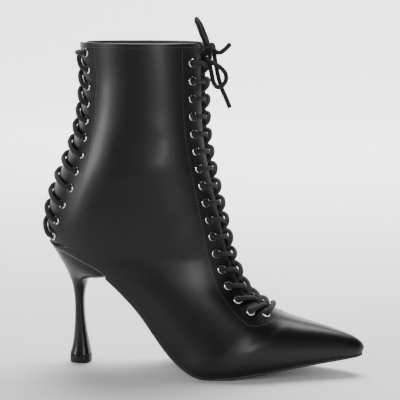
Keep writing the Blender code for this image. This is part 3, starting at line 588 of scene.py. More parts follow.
class Skin:
    """A surface built from rows of points, where points at one place are made one."""

    def __init__(self):
        self.points, self.faces, self.known, self.marks = [], [], {}, []

    def point(self, place, mark):
        key = tuple(int(round(float(c) * 1e6)) for c in place)
        if key not in self.known:
            self.known[key] = len(self.points)
            self.points.append(np.array(place, float))
            self.marks.append(mark)
        return self.known[key]

    def face(self, corners):
        kept = [c for k, c in enumerate(corners) if c != corners[k - 1]]
        if len(set(kept)) == len(kept) and len(kept) > 2:
            self.faces.append(kept)

    def grid(self, rows, flip):
        for one, two in zip(rows, rows[1:]):
            for a, b, c, d in zip(one, one[1:], two[1:], two):
                self.face([d, c, b, a] if flip else [a, b, c, d])

    def settle(self):
        """Keeps only the points in use, as arrays."""
        used = sorted({v for face in self.faces for v in face})
        new = {v: k for k, v in enumerate(used)}
        self.points = np.array([self.points[v] for v in used])
        self.marks = np.array([self.marks[v] for v in used], float)
        self.faces = [[new[v] for v in face] for face in self.faces]

    def normals(self):
        out = np.zeros_like(self.points)
        for size in (3, 4):
            group = np.array([face for face in self.faces if len(face) == size])
            if len(group):
                p = self.points[group]
                turn = np.cross(p[:, 2] - p[:, 0], p[:, -1] - p[:, 1])
                for k in range(size):
                    np.add.at(out, group[:, k], turn)
        return out / np.maximum(np.linalg.norm(out, axis=1), 1e-12)[:, None]

    def edges(self):
        """Edges with one face only, in the direction of that face."""
        seen = {}
        for face in self.faces:
            for a, b in zip(face, face[1:] + face[:1]):
                seen[(a, b)] = True
        return [(a, b) for a, b in seen if (b, a) not in seen]

    def shell(self, outside, inside, bulge=0.0, spans=1):
        """Points, faces and kinds of face (0 outside, 1 edge, 2 inside) of a wall with a round edge."""
        normal = self.normals()
        count = len(self.points)
        outer = self.points + normal * outside[:, None]
        inner = self.points + normal * inside
        faces = [list(face) for face in self.faces]
        faces += [[v + count for v in reversed(face)] for face in self.faces]
        kinds = [0] * len(self.faces) + [2] * len(self.faces)
        edges = self.edges()
        away = np.zeros_like(self.points)
        for a, b in edges:
            push = np.cross(self.points[b] - self.points[a], normal[a] + normal[b])
            push /= max(np.linalg.norm(push), 1e-12)
            away[a] += push
            away[b] += push
        away /= np.maximum(np.linalg.norm(away, axis=1), 1e-12)[:, None]
        rim = sorted({v for edge in edges for v in edge})
        step = {v: k for k, v in enumerate(rim)}
        points = [outer, inner]
        for k in range(1, spans):
            turn = math.pi * k / spans
            share = (1 - math.cos(turn)) / 2
            between = outer[rim] * (1 - share) + inner[rim] * share
            points.append(between + away[rim] * bulge * math.sin(turn))

        def level(v, k):
            if k == 0:
                return v
            return v + count if k == spans else 2 * count + (k - 1) * len(rim) + step[v]

        for a, b in edges:
            for k in range(spans):
                faces.append([level(b, k), level(a, k), level(a, k + 1), level(b, k + 1)])
                kinds.append(1)
        return np.vstack(points), faces, kinds, rim


def smooth_path(keys, per_span):
    """A smooth line through key points."""
    keys = np.array(keys, float)
    padded = np.vstack([2 * keys[0] - keys[1], keys, 2 * keys[-1] - keys[-2]])
    line = []
    for k in range(len(keys) - 1):
        a, b, c, d = padded[k:k + 4]
        # Steps in the square root of the distance keep the line from overshooting at short spans
        one, two, three = (max(np.linalg.norm(q - p), 1e-6) ** 0.5 for p, q in ((a, b), (b, c), (c, d)))
        for j in range(per_span):
            u = one + two * j / per_span
            ab = a + (b - a) * (u / one)
            bc = b + (c - b) * ((u - one) / two)
            cd = c + (d - c) * ((u - one - two) / three)
            abc = ab + (bc - ab) * (u / (one + two))
            bcd = bc + (cd - bc) * ((u - one) / (two + three))
            line.append(abc + (bcd - abc) * ((u - one) / two))
    line.append(keys[-1])
    return np.array(line)


def cord_mesh(lines, radius, sides=12, step=0.0007):
    """Round cords along lines, as one mesh: points, faces, and each point's place round and along."""
    points, faces, around, run = [], [], [], []
    for line in lines:
        line = even(line, step)
        far = along(line)
        heading = np.gradient(line, axis=0)
        heading /= np.linalg.norm(heading, axis=1)[:, None]
        side = np.cross(heading[0], [0.31, 0.85, 0.42])
        # The ends close with a small dome
        rings = [(0, -0.55, 0.45), (0, -0.30, 0.85)]
        rings += [(k, 0.0, 1.0) for k in range(len(line))]
        rings += [(len(line) - 1, 0.30, 0.85), (len(line) - 1, 0.55, 0.45)]
        first = len(points)
        for k, shift, size in rings:
            side = side - heading[k] * np.dot(side, heading[k])
            side /= np.linalg.norm(side)
            up = np.cross(heading[k], side)
            for j in range(sides + 1):
                angle = 2 * math.pi * j / sides
                spot = line[k] + heading[k] * shift * radius
                points.append(spot + radius * size * (math.cos(angle) * side + math.sin(angle) * up))
                around.append(j / sides)
                run.append(far[k] + shift * radius)
        wide = sides + 1
        for k in range(len(rings) - 1):
            for j in range(sides):
                a = first + k * wide + j
                faces.append([a, a + 1, a + wide + 1, a + wide])
        for k in (0, len(rings) - 1):
            faces.append([first + k * wide + j for j in range(sides)])
    return points, faces, around, run


def cord_piece(name, lines, radius, finish, replaced):
    """A cord, or several, as one piece; its seam of doubled points is joined."""
    points, faces, around, run = cord_mesh(lines, radius)
    mesh = raw_mesh(name, points, faces)
    # Each corner keeps its own place round the cord, so that the braid closes on itself
    corners = np.empty(len(mesh.loops), np.int32)
    mesh.loops.foreach_get("vertex_index", corners)
    for label, values in (("around", around), ("run", run)):
        made = mesh.attributes.new(label, "FLOAT", "CORNER")
        made.data.foreach_set("value", np.array(values, np.float32)[corners])
    mesh.materials.append(finish)
    return riding(mesh, replaced, 60, join=True)


def spread(template, faces, frames):
    """Copies of a small shape at many places: each frame is a point and three directions."""
    template = np.array(template)
    points, all_faces = [], []
    for k, (spot, one, two, three) in enumerate(frames):
        points.append(spot + template @ np.array([one, two, three]))
        all_faces += [[v + k * len(template) for v in face] for face in faces]
    return np.vstack(points), all_faces


def turned_shape(profile, segments):
    """A ring turned about the third direction, from pairs of radius and height."""
    points, faces = [], []
    n = len(profile)
    for k in range(segments):
        angle = 2 * math.pi * k / segments
        points += [(r * math.cos(angle), r * math.sin(angle), h) for r, h in profile]
        m = (k + 1) % segments
        faces += [[k * n + j, m * n + j, m * n + (j + 1) % n, k * n + (j + 1) % n] for j in range(n)]
    return points, faces


# The leather upper

# Soft troughs (above 0) and ridges (below 0), the same on both sides: depth, width, and the places
# that they run through, as pairs of row and distance from the front line (shares of the ball width)
CREASES = (
    (0.00055, 0.0095, ((3.3, 0.55), (3.6, 0.80), (3.7, 1.05))),
    (-0.00035, 0.0080, ((4.5, 0.50), (4.8, 0.80), (4.9, 1.05))),
    (0.00050, 0.0060, ((7.2, 0.48), (7.9, 0.70), (8.3, 0.92))),
    (0.00040, 0.0050, ((9.4, 0.50), (10.6, 0.66), (11.6, 0.84))),
    (0.00035, 0.0035, ((17.4, 0.55), (17.8, 0.42), (18.1, 0.28))),
    (-0.00030, 0.0040, ((18.3, 0.50), (18.6, 0.36), (18.8, 0.22))),
)


def crease_depth(points):
    """How far the soft creases sink the leather at each point."""
    depth = np.zeros(len(points))
    for (sink, width, places), side in itertools.product(CREASES, (LATERAL, MEDIAL)):
        keys = [surface_point(t, side * share * BALL_WIDTH, "front") for t, share in places]
        line = even(smooth_path(keys, 12), 0.002)
        gap = np.full(len(points), np.inf)
        nearest = np.zeros(len(points), int)
        for k, spot in enumerate(line):
            far = np.linalg.norm(points - spot, axis=1)
            closer = far < gap
            gap[closer] = far[closer]
            nearest[closer] = k
        fade = np.sin(math.pi * (nearest + 0.5) / len(line)) ** 0.7
        depth += sink * fade * np.exp(-((gap / width) ** 2))
    return depth


# Points of a row on the back facing, on the leather between the facings and on the front one
BACK_COUNT, MIDDLE_COUNT, FRONT_COUNT = 21, 27, 19


def facing_places(t, length):
    """Distances of a row's points along one side, with how far each rises and if it is facing."""
    back_edge = slit_half(t) if t < AT_SEAT else 0.0
    back_line = max(back_seam(t), back_edge)
    front_edge = length - throat_half(t)
    front_line = length - max(front_seam(t), throat_half(t))
    back_gap = SEAM_WIDTH if back_line > 0.002 else 0.0
    front_gap = SEAM_WIDTH if front_line < length - 0.002 else 0.0
    back = np.linspace(back_edge, back_line, BACK_COUNT)
    middle = np.linspace(back_line + back_gap, front_line - front_gap, MIDDLE_COUNT)
    front = np.linspace(front_line, front_edge, FRONT_COUNT)
    facing = [1.0 if back_gap else 0.0] * BACK_COUNT + [0.0] * MIDDLE_COUNT
    facing += [1.0 if front_gap else 0.0] * FRONT_COUNT
    rise = [0.0 if mark else PANEL_STEP for mark in facing]
    return np.concatenate([back, middle, front]), rise, facing


def eyelet_spots(inset=0.0):
    """The middle of every eyelet, or the spot at an inset from it towards the opening."""
    for line, side in itertools.product(("front", "back"), (LATERAL, MEDIAL)):
        for t in EYELETS[line]:
            yield surface_point(t, side * (eyelet_line(t, line) - inset), line)


# How far the pulled leather rises beside each eyelet, how wide, and how far from its middle
PUCKER_RISE, PUCKER_WIDTH, PUCKER_INSET = 0.00035, 0.0042, 0.004


def pucker(points, marks):
    """The small rise of the leather round each eyelet, where the lace pulls it."""
    rise = np.zeros(len(points))
    for spot in eyelet_spots(PUCKER_INSET):
        far = np.linalg.norm(points - spot, axis=1)
        rise += PUCKER_RISE * np.exp(-((far / PUCKER_WIDTH) ** 2))
    return rise * marks


def pierce(skin):
    """Opens a round hole for each eyelet: points near it move out, and those at its middle go."""
    open_points = np.zeros(len(skin.points), bool)
    inner, outer, hole = 0.0011, 0.0030, EYELET_INNER / 2 + 0.00015
    for spot in eyelet_spots():
        away = skin.points - spot
        far = np.linalg.norm(away, axis=1)
        open_points |= far < inner
        near = (far >= inner) & (far < outer)
        goal = hole + (far[near] - inner) / (outer - inner) * (outer - hole)
        skin.points[near] += away[near] * ((goal - far[near]) / far[near])[:, None]
    skin.faces = [face for face in skin.faces if not open_points[face].any()]


def bed_line():
    """The line that the bottom of the upper follows, seat to toe, as x and z."""
    rows = even_rows(AT_SEAT, AT_TIP, 0.0015)
    ends = [section_ends(t)[1] for t in rows]
    return np.array([e[0] for e in ends]), np.array([e[1] for e in ends])


BED_X, BED_Z = bed_line()


def bed_height(x, below):
    """Height of a surface that runs at a distance under the bottom of the upper."""
    slope = (np.interp(x + 0.002, BED_X, BED_Z) - np.interp(x - 0.002, BED_X, BED_Z)) / 0.004
    return np.interp(x, BED_X, BED_Z) - below * np.sqrt(1 + slope * slope)


def make_upper(leather, lining):
    """The leather upper with its facings, holes, soft creases and rounded edges."""
    rows = sorted([
        *even_rows(0.0, AT_TIP, 0.00125), *arc_rows(SLIT_ROUND_FROM, SLIT_END, 12),
        *arc_rows(THROAT_ROUND_FROM, THROAT_END, 16), *arc_rows(SEAM_ROUND_FROM, SEAM_END, 16), 0.02, 0.05,
    ])
    rows = [t for k, t in enumerate(rows) if k == 0 or t - rows[k - 1] > 0.004]
    skin = Skin()
    for side in (LATERAL, MEDIAL):
        grid = []
        for t in rows:
            curve = side_curve(t, side)
            places, rise, facing = facing_places(t, along(curve)[-1])
            spots = points_at(curve, places)
            grid.append([skin.point(p, (r, f)) for p, r, f in zip(spots, rise, facing)])
        skin.grid(grid, side < 0)
    skin.settle()
    normal = skin.normals()
    lift = pucker(skin.points, skin.marks[:, 1]) - crease_depth(skin.points)
    skin.points = skin.points + normal * lift[:, None]
    pierce(skin)
    skin.settle()
    points, faces, kinds, rim = skin.shell(skin.marks[:, 0], -UPPER_WALL, 0.0005, 4)
    count = len(skin.points)
    low = points[count:2 * count]
    seat = low[:, 2] < SEAT_HEIGHT + 0.003
    low[seat, 0] = np.maximum(low[seat, 0], BED_X[0] + 0.0010)
    under = low[:, 0] > BED_X[0]
    low[under, 2] = np.maximum(low[under, 2], bed_height(low[under, 0], 0.0))
    upper = piece("leather_upper", points, faces, [leather, lining], ["upper"],
                  [1 if kind == 2 else 0 for kind in kinds], 42)
    edge = np.zeros(len(points))
    edge[rim] = 0.6
    edge[2 * count:] = 1.0
    facing = np.zeros(len(points))
    facing[:count] = skin.marks[:, 1]
    carry(upper, "edge", edge)
    carry(upper, "facing", facing)


def make_panel(name, node, line, rows, half, finish):
    """A curved panel inside the upper behind an opening, softly rounded at its edges."""
    skin = Skin()
    shares = np.sin(np.linspace(-math.pi / 2, math.pi / 2, 25))
    grid = []
    for t in rows:
        grid.append([skin.point(surface_point(t, s * half, line), 0.0) for s in shares])
    skin.grid(grid, False)
    skin.settle()
    if np.dot(skin.normals()[12], surface_frame(rows[0], 0.0, line)[1]) < 0:
        skin.faces = [face[::-1] for face in skin.faces]
    outside = np.full(len(skin.points), -PANEL_INSET)
    points, faces, _, _ = skin.shell(outside, -PANEL_INSET - PANEL_THICK, 0.0006, 4)
    made = piece(name, points, faces, [finish], [node])
    carry(made, "edge", np.zeros(len(points)))
    carry(made, "facing", np.full(len(points), 0.6))


# The sole and the heel


def bed_outline(t, grow):
    """Both edges of the bottom at a row, moved out by a margin."""
    edges = []
    for side in (LATERAL, MEDIAL):
        name = "sole_in" if side > 0 else "sole_out"

        def spot(t, name=name, side=side):
            row = section_values(t)
            half = max(row[name], 0.0) * BALL_WIDTH if t > AT_SEAT else 0.0
            x = row["low_x"] * BOOT_LENGTH - HEEL_SETBACK
            return np.array([x, row["shift"] * BALL_WIDTH + side * half])

        run = spot(min(t + 0.02, AT_TIP)) - spot(max(t - 0.02, AT_SEAT))
        out = np.array([-side * run[1], side * run[0]])
        edges.append(spot(t) + out / max(np.linalg.norm(out), 1e-12) * grow)
    return edges


def around_faces(rings, count):
    """Faces between rings of points, each ring closed on itself."""
    faces = []
    for r, k in itertools.product(range(rings - 1), range(count)):
        m = (k + 1) % count
        faces.append([r * count + k, r * count + m, (r + 1) * count + m, (r + 1) * count + k])
    return faces


def make_plate(name, node, slot, rows, grow, top, bottom, finish, floor=None):
    """A plate with round edges that follows the bottom of the upper, between two depths."""
    spans, side = 20, 5
    thick = bottom - top
    flat = [(s, 0.0) for s in np.linspace(0, 1, spans)]
    turn = np.linspace(0, math.pi, side + 2)[1:-1]
    shape = flat + [(1.0, a) for a in turn] + [(s, math.pi) for s, _ in reversed(flat)]
    shape += [(0.0, math.pi + a) for a in turn]
    rings = []
    for t in rows:
        one, two = bed_outline(t, grow)
        width = two[1] - one[1]
        if width < 0.0008:
            continue
        round_off = min(thick / 2, width / 4)
        inset = round_off / width
        ring = []
        for share, angle in shape:
            x, y = one + (two - one) * (inset + share * (1 - 2 * inset))
            y += math.sin(angle) * round_off
            z = float(bed_height(x, (top + bottom) / 2 - math.cos(angle) * thick / 2))
            ring.append((x, y, z if floor is None else max(z, floor)))
        rings.append(ring)
    n = len(shape)
    faces = around_faces(len(rings), n)
    for base in (0, (len(rings) - 1) * n):
        lower = base + 2 * spans + side - 1
        faces += [[base + k, base + k + 1, lower - k - 1, lower - k] for k in range(spans - 1)]
        faces.append([base + spans - 1 + k for k in range(side + 2)])
        faces.append([base + (2 * spans + side - 1 + k) % n for k in range(side + 2)])
    piece(name, [p for ring in rings for p in ring], faces, [finish], [node], None, 50)


# Each ring: height of the back edge, how far it lies behind and the front edge in front of the
# middle, height of the front edge, half width, and squareness. Heights are shares of the seat's
# height, distances shares of the lift's length, and the half width a share of the lift's width.
HEEL_RINGS = np.array((
    (0.066, 0.503, 0.494, 0.066, 0.500, 3.0),
    (0.147, 0.373, 0.404, 0.147, 0.410, 2.9),
    (0.283, 0.277, 0.283, 0.283, 0.325, 2.7),
    (0.400, 0.241, 0.217, 0.400, 0.300, 2.6),
    (0.510, 0.241, 0.205, 0.514, 0.315, 2.6),
    (0.610, 0.301, 0.290, 0.622, 0.400, 2.8),
    (0.703, 0.434, 0.440, 0.686, 0.660, 3.2),
    (0.792, 0.633, 0.753, 0.709, 0.990, 3.8),
    (0.880, 0.910, 1.175, 0.720, 1.300, 4.6),
    (0.948, 1.140, 1.480, 0.735, 1.490, 5.5),
))
# Shares of the seat's height between which the heel goes over into the outline of the seat
HEEL_FLARE_FROM, HEEL_FLARE_TO = 0.66, 0.93
HEEL_SIDES = 72


def heel_ring(back, front, half, square):
    """One ring of the heel: round at the back, squarer towards the front."""
    ring = []
    for k in range(HEEL_SIDES):
        angle = 2 * math.pi * (k + 0.5) / HEEL_SIDES
        c, s = math.cos(angle), math.sin(angle)
        x = math.copysign(abs(c) ** (2 / square if c > 0 else 1.0), c)
        y = math.copysign(abs(s) ** (2 / square if c > 0 else 1.0), s) * half
        spot = np.array(back) + (np.array(front) - np.array(back)) * (x + 1) / 2
        ring.append((spot[0], y, spot[1]))
    return ring


def ring_piece(name, rings, finish, node):
    """A solid piece through the heel's rings, closed over the first and the last."""
    faces = around_faces(len(rings), HEEL_SIDES)
    for base in (0, (len(rings) - 1) * HEEL_SIDES):
        last = base + HEEL_SIDES - 1
        faces += [[base + k, base + k + 1, last - k - 1, last - k] for k in range(HEEL_SIDES // 2 - 1)]
    piece(name, [p for ring in rings for p in ring], faces, [finish], [node], None, 50)


def make_heel(finish):
    """The covered heel, lofted from its narrow foot to the full width of the seat."""
    breast = section_values(AT_BREAST)
    front_x = breast["low_x"] * BOOT_LENGTH - HEEL_SETBACK
    half = (breast["sole_out"] + breast["sole_in"]) / 2 * BALL_WIDTH - 0.0002
    seat = [section_values(t) for t in np.linspace(AT_SEAT, AT_BREAST, 60)]
    seat_x = [row["low_x"] * BOOT_LENGTH - HEEL_SETBACK for row in seat]
    seat_half = {
        side: [row[column] * BALL_WIDTH for row in seat]
        for side, column in ((LATERAL, "sole_out"), (MEDIAL, "sole_in"))
    }

    def leather_half(x, y):
        return float(np.interp(x, seat_x, seat_half[MEDIAL if y > 0 else LATERAL]))

    rings = []
    for back_z, back_x, ahead_x, front_z, wide, square in smooth_path(HEEL_RINGS, 6):
        back = (-back_x * LIFT_LENGTH, back_z * SEAT_HEIGHT)
        front = (ahead_x * LIFT_LENGTH, front_z * SEAT_HEIGHT)
        # Near the seat the rings take on the outline of the leather that they meet
        share = min(max((back_z - HEEL_FLARE_FROM) / (HEEL_FLARE_TO - HEEL_FLARE_FROM), 0.0), 1.0)
        ring = []
        for x, y, z in heel_ring(back, front, wide * LIFT_WIDTH, square):
            above_x = BED_X[0] + (x - back[0]) / (front[0] - back[0]) * (front_x - BED_X[0])
            most = leather_half(above_x, y) * wide * LIFT_WIDTH / half
            ring.append((x, y + share * (math.copysign(min(abs(y), most), y) - y), z))
        rings.append(ring)
    # The last two rings lie against the leather, the upper one a little inside it
    for drop, inset in ((0.0009, 0.0003), (-0.0002, 0.0)):
        ring = []
        for x, y, _ in heel_ring((BED_X[0] + 0.0002, 0.0), (front_x, 0.0), half, 8.0):
            y = math.copysign(min(abs(y), leather_half(x, y)) - min(inset, abs(y)), y)
            ring.append((x, y, float(bed_height(x, 0.0)) - drop))
        rings.append(ring)
    ring_piece("covered_heel", rings, finish, "heel")


def make_seat_bead(finish):
    """The thin folded bead between the leather and the heel, round the seat from breast to breast."""
    edges = [bed_outline(t, BEAD_THICK * 0.2) for t in np.linspace(AT_BREAST - 0.05, AT_SEAT + 0.05, 70)]
    spots = [outer for outer, _ in edges] + [inner for _, inner in edges[::-1]]
    line = np.array([(x, y, float(bed_height(x, 0.0)) - 0.0001) for x, y in spots])
    points, faces, _, _ = cord_mesh([line], BEAD_THICK / 2, 10, 0.001)
    bead = piece("seat_bead", points, faces, [finish], [], None, 60)
    for mark in ("edge", "facing"):
        carry(bead, mark, np.zeros(len(points)))


def make_lift(finish):
    """The top lift that the heel stands on, its lower edge rounded and its upper one eased."""
    top = LIFT_THICK - FIT_GAP
    rings = []
    for height, scale in (
        (0.0, 0.955), (0.0002, 0.975), (0.0006, 0.992), (0.0012, 1.0), (top - 0.0003, 1.0), (top, 0.985),
    ):
        back = (-0.503 * LIFT_LENGTH * scale, height)
        front = (0.497 * LIFT_LENGTH * scale, height)
        rings.append(heel_ring(back, front, 0.5 * LIFT_WIDTH * scale, 3.0))
    ring_piece("top_lift", rings, finish, "heel_lift")


# Laces

# One row a point of a strand between two eyelets: distance across (share of the eyelets' reach,
# from its own side to the other), share of the step between eyelets, and its height over the
# leather where it passes over the other strand and where it passes under it
FRONT_STRAND = (
    (-1.00, 0.00, -0.0016, -0.0016),
    (-0.985, 0.00, 0.0014, 0.0014),
    (-0.86, 0.01, 0.0027, 0.0026),
    (-0.50, 0.05, 0.0019, 0.0018),
    (-0.25, 0.18, 0.0013, -0.0004),
    (0.00, 0.37, 0.0007, -0.0027),
    (0.26, 0.60, -0.0018, -0.0038),
    (0.42, 0.76, -0.0044, -0.0044),
    (0.68, 0.92, -0.0043, -0.0043),
    (0.96, 0.99, -0.0043, -0.0043),
)
BACK_STRAND = (
    (-1.00, 0.00, -0.0016, -0.0016),
    (-0.985, 0.01, 0.0014, 0.0014),
    (-0.86, 0.14, 0.0027, 0.0026),
    (-0.50, 0.60, 0.0020, 0.0018),
    (-0.22, 0.82, 0.0015, -0.0004),
    (0.00, 0.90, 0.0009, -0.0026),
    (0.22, 0.95, -0.0016, -0.0036),
    (0.40, 0.97, -0.0044, -0.0044),
    (0.66, 0.98, -0.0044, -0.0044),
    (0.96, 0.99, -0.0043, -0.0043),
)
# From the knot to the top eyelets: share of the reach, share of the first eyelet's row, height
KNOT_RUN = (
    (0.26, 0.46, -0.0006),
    (0.40, 0.62, -0.0042),
    (0.68, 0.80, -0.0042),
    (0.96, 0.98, -0.0042),
)
KNOT_AT = (0.0015, 0.0, -0.0035)
# The bar over the last pair of eyelets: share of the reach and height
LAST_BAR = (
    (1.0, -0.0016), (0.985, 0.0014), (0.84, 0.0028), (0.4, 0.0027), (0.0, 0.0027),
    (-0.4, 0.0027), (-0.84, 0.0028), (-0.985, 0.0014), (-1.0, -0.0016),
)


def lace_reach(share, t, line):
    """Reach of a lace from the middle: half its share is over the opening, half over the facing."""
    half = rounded(t, THROAT_ROUND_FROM, THROAT_END, THROAT_HALF) if line == "front" else BACK_SLIT_HALF
    rest = eyelet_line(t, line) - half
    return half * min(share * 2, 1.0) + rest * max(share * 2 - 1.0, 0.0)


def lace_keys(line, side):
    """Key points of one lace that zigzags from the first pair of eyelets to the last."""
    places, strand, upmost = list(EYELETS[line]), FRONT_STRAND, MEDIAL
    if line == "back":
        places, strand, upmost = places[::-1], BACK_STRAND, LATERAL
    keys = []
    for one, two in zip(places, places[1:]):
        for share, step, over, under in strand:
            t = one + step * (two - one)
            reach = -side * math.copysign(lace_reach(abs(share), t, line), share)
            keys.append(place_on(t, reach, over if side == upmost else under, line))
        side = -side
    return keys, side, places


def knot_place():
    """Middle of the knot, in front of the tongue at the collar."""
    _, _, top = section_ends(0.0)
    return np.array([top[0] + KNOT_AT[0], KNOT_AT[1], top[1] + KNOT_AT[2]])


def knot_run(side, first_eyelet):
    """Key points of the lace from the knot to the top eyelet of one side."""
    keys = [knot_place() + np.array((-0.0012, side * 0.0014, -0.0010))]
    keys.append(knot_place() + np.array((-0.0020, side * 0.0034, -0.0030)))
    for share, place, height in KNOT_RUN:
        t = place * first_eyelet
        keys.append(place_on(t, side * lace_reach(share, t, "front"), height, "front"))
    return keys


def make_lacing(line, name, node, finish):
    """The lace of one opening: two zigzags, and a bar over the last pair."""
    first, side, places = lace_keys(line, LATERAL)
    second, _, _ = lace_keys(line, MEDIAL)
    if line == "front":
        first = knot_run(LATERAL, places[0]) + first
        second = knot_run(MEDIAL, places[0]) + second
    end = places[-1]
    bar = []
    for share, height in LAST_BAR:
        reach = math.copysign(lace_reach(abs(share), end, line), side * share)
        bar.append(place_on(end, reach, height, line))
    lines = [smooth_path(first + bar, 8), smooth_path(second + [bar[-1]], 8)]
    cord_piece(name, lines, LACE_THICK / 2, finish, [node])


# The bow's two cords, in metres from the knot's middle: forward, to the inner side and up
UPRIGHT_LOOP = (
    (-0.0003, -0.0003, 0.0010), (-0.0018, -0.0022, 0.0050), (-0.0038, -0.0042, 0.0105),
    (-0.0058, -0.0044, 0.0160), (-0.0076, -0.0028, 0.0197), (-0.0082, 0.0004, 0.0210),
    (-0.0074, 0.0036, 0.0194), (-0.0053, 0.0049, 0.0155), (-0.0030, 0.0042, 0.0105),
    (-0.0006, 0.0022, 0.0050), (0.0006, 0.0004, 0.0012), (0.0022, -0.0006, -0.0008),
    (0.0046, -0.0012, -0.0016), (0.0072, -0.0022, -0.0030), (0.0100, -0.0034, -0.0034),
    (0.0140, -0.0046, -0.0008), (0.0175, -0.0058, 0.0026),
)
ROUND_LOOP = (
    (-0.0006, -0.0006, -0.0010), (-0.0016, -0.0030, -0.0046), (0.0006, -0.0062, -0.0088),
    (0.0060, -0.0086, -0.0108), (0.0112, -0.0098, -0.0138), (0.0150, -0.0104, -0.0180),
    (0.0156, -0.0106, -0.0228), (0.0130, -0.0102, -0.0268), (0.0090, -0.0082, -0.0284),
    (0.0058, -0.0058, -0.0254), (0.0040, -0.0044, -0.0190), (0.0024, -0.0036, -0.0110),
    (0.0025, -0.0036, -0.0052), (0.0026, -0.0030, -0.0010), (0.0030, -0.0012, 0.0018),
    (0.0036, 0.0014, 0.0022), (0.0041, 0.0036, -0.0002), (0.0045, 0.0041, -0.0040),
    (0.0051, 0.0034, -0.0086), (0.0064, 0.0018, -0.0142),
    (0.0084, 0.0000, -0.0220), (0.0112, -0.0018, -0.0300), (0.0146, -0.0030, -0.0370),
    (0.0172, -0.0036, -0.0430),
)
# The wrap round the knot: turns, half its depth and width, and where it starts and ends in height
KNOT_TURNS = 2.4
KNOT_HALF_DEPTH, KNOT_HALF_WIDTH = 0.0023, 0.0028
KNOT_TOP, KNOT_BOTTOM = 0.0018, -0.0048


def make_bow(finish):
    """The knot's wrap and the two cords of the bow, each a loop that ends in a free end."""
    middle = knot_place()
    wrap = []
    for share in np.linspace(0, 1, 71):
        turn = 2 * math.pi * KNOT_TURNS * share
        height = KNOT_TOP + (KNOT_BOTTOM - KNOT_TOP) * share + 0.0006 * math.sin(turn + 0.6)
        across = KNOT_HALF_DEPTH * math.cos(turn) + 0.0008, KNOT_HALF_WIDTH * math.sin(turn)
        wrap.append(middle + np.array([*across, height]))
    knot = cord_piece("knot_wrap", [np.array(wrap)], BOW_THICK / 2, finish, ["bow_knot"])
    for name, keys, nodes in (
        ("bow_cord_upright", UPRIGHT_LOOP, ["bow_loop_upright", "bow_end_short"]),
        ("bow_cord_round", ROUND_LOOP, ["bow_loop_round", "bow_end_long"]),
    ):
        line = smooth_path([middle + np.array(key) for key in keys], 8)
        made = cord_piece(name, [line], BOW_THICK / 2, finish, nodes)
        spots = even(line, 0.0012)
        float(along(spots)[-1])


def make_eyelets(finish):
    """Silver eyelets: a rolled rim outside, a barrel through the leather and a flange inside."""
    inner, outer = EYELET_INNER / 2, EYELET_OUTER / 2
    through = -UPPER_WALL - 0.0003
    profile = (
        (inner, through + 0.0002), (inner, -0.0001), (inner + 0.0001, 0.0005), (inner + 0.0004, 0.0009),
        (inner + 0.0008, 0.00105), (outer - 0.0003, 0.0008), (outer - 0.00005, 0.0004), (outer, 0.0001),
        (outer - 0.0003, -0.00002), (inner + 0.00014, -0.00002), (inner + 0.00014, through),
        (outer - 0.0006, through), (outer - 0.0007, through - 0.0004), (inner + 0.0003, through - 0.0004),
    )
    template, faces = turned_shape(profile, 28)
    for line in ("front", "back"):
        for word, side in (("outer", LATERAL), ("inner", MEDIAL)):
            frames = []
            for t in EYELETS[line]:
                spot, out, down = surface_frame(t, side * eyelet_line(t, line), line)
                frames.append((spot + out * 0.0002, down, np.cross(out, down), out))
            points, all_faces = spread(template, faces, frames)
            nodes = [f"eyelet_{word}_{k + 1:02d}" for k in range(FRONT_EYELETS)] if line == "front" else []
            piece(f"{line}_eyelets_{word}", points, all_faces, [finish], nodes)


# Stitching

# Rings of one stitch, a short thread that dips into the leather at both ends: place along it
# (share of its length), size and rise (shares of its thickness)
STITCH_RINGS = (
    (-0.50, 0.45, -0.55), (-0.40, 0.85, 0.0), (-0.15, 1.0, 0.35),
    (0.15, 1.0, 0.35), (0.40, 0.85, 0.0), (0.50, 0.45, -0.55),
)
STITCH_LONG, STITCH_THICK, STITCH_PITCH = 0.0019, 0.00042, 0.0025
STITCH_BESIDE_SEAM = 0.0017


def stitch_shape():
    """Points and faces of one stitch."""
    sides = 7
    half = STITCH_THICK / 2
    points = []
    for far, size, rise in STITCH_RINGS:
        for angle in np.arange(sides) * (2 * math.pi / sides):
            flat = math.sin(angle) * half * size * 0.8
            points.append((far * STITCH_LONG, math.cos(angle) * half * size, flat + rise * half))
    faces = around_faces(len(STITCH_RINGS), sides)
    faces += [[base + j for j in range(sides)] for base in (0, (len(STITCH_RINGS) - 1) * sides)]
    return points, faces


def stitch_frames(spots, outs):
    """A place and directions for each stitch of a row."""
    far = along(spots)
    frames = []
    for k in range(int(far[-1] / STITCH_PITCH)):
        middle = (k + 0.5) * STITCH_PITCH
        third = STITCH_PITCH / 3
        spot, ahead, behind = (points_at(spots, [middle + step])[0] for step in (0.0, third, -third))
        out = np.array([np.interp(middle, far, outs[:, k]) for k in range(3)])
        run = ahead - behind
        run /= np.linalg.norm(run)
        out = out - run * np.dot(out, run)
        out /= np.linalg.norm(out)
        frames.append((spot, run, np.cross(out, run), out))
    return frames


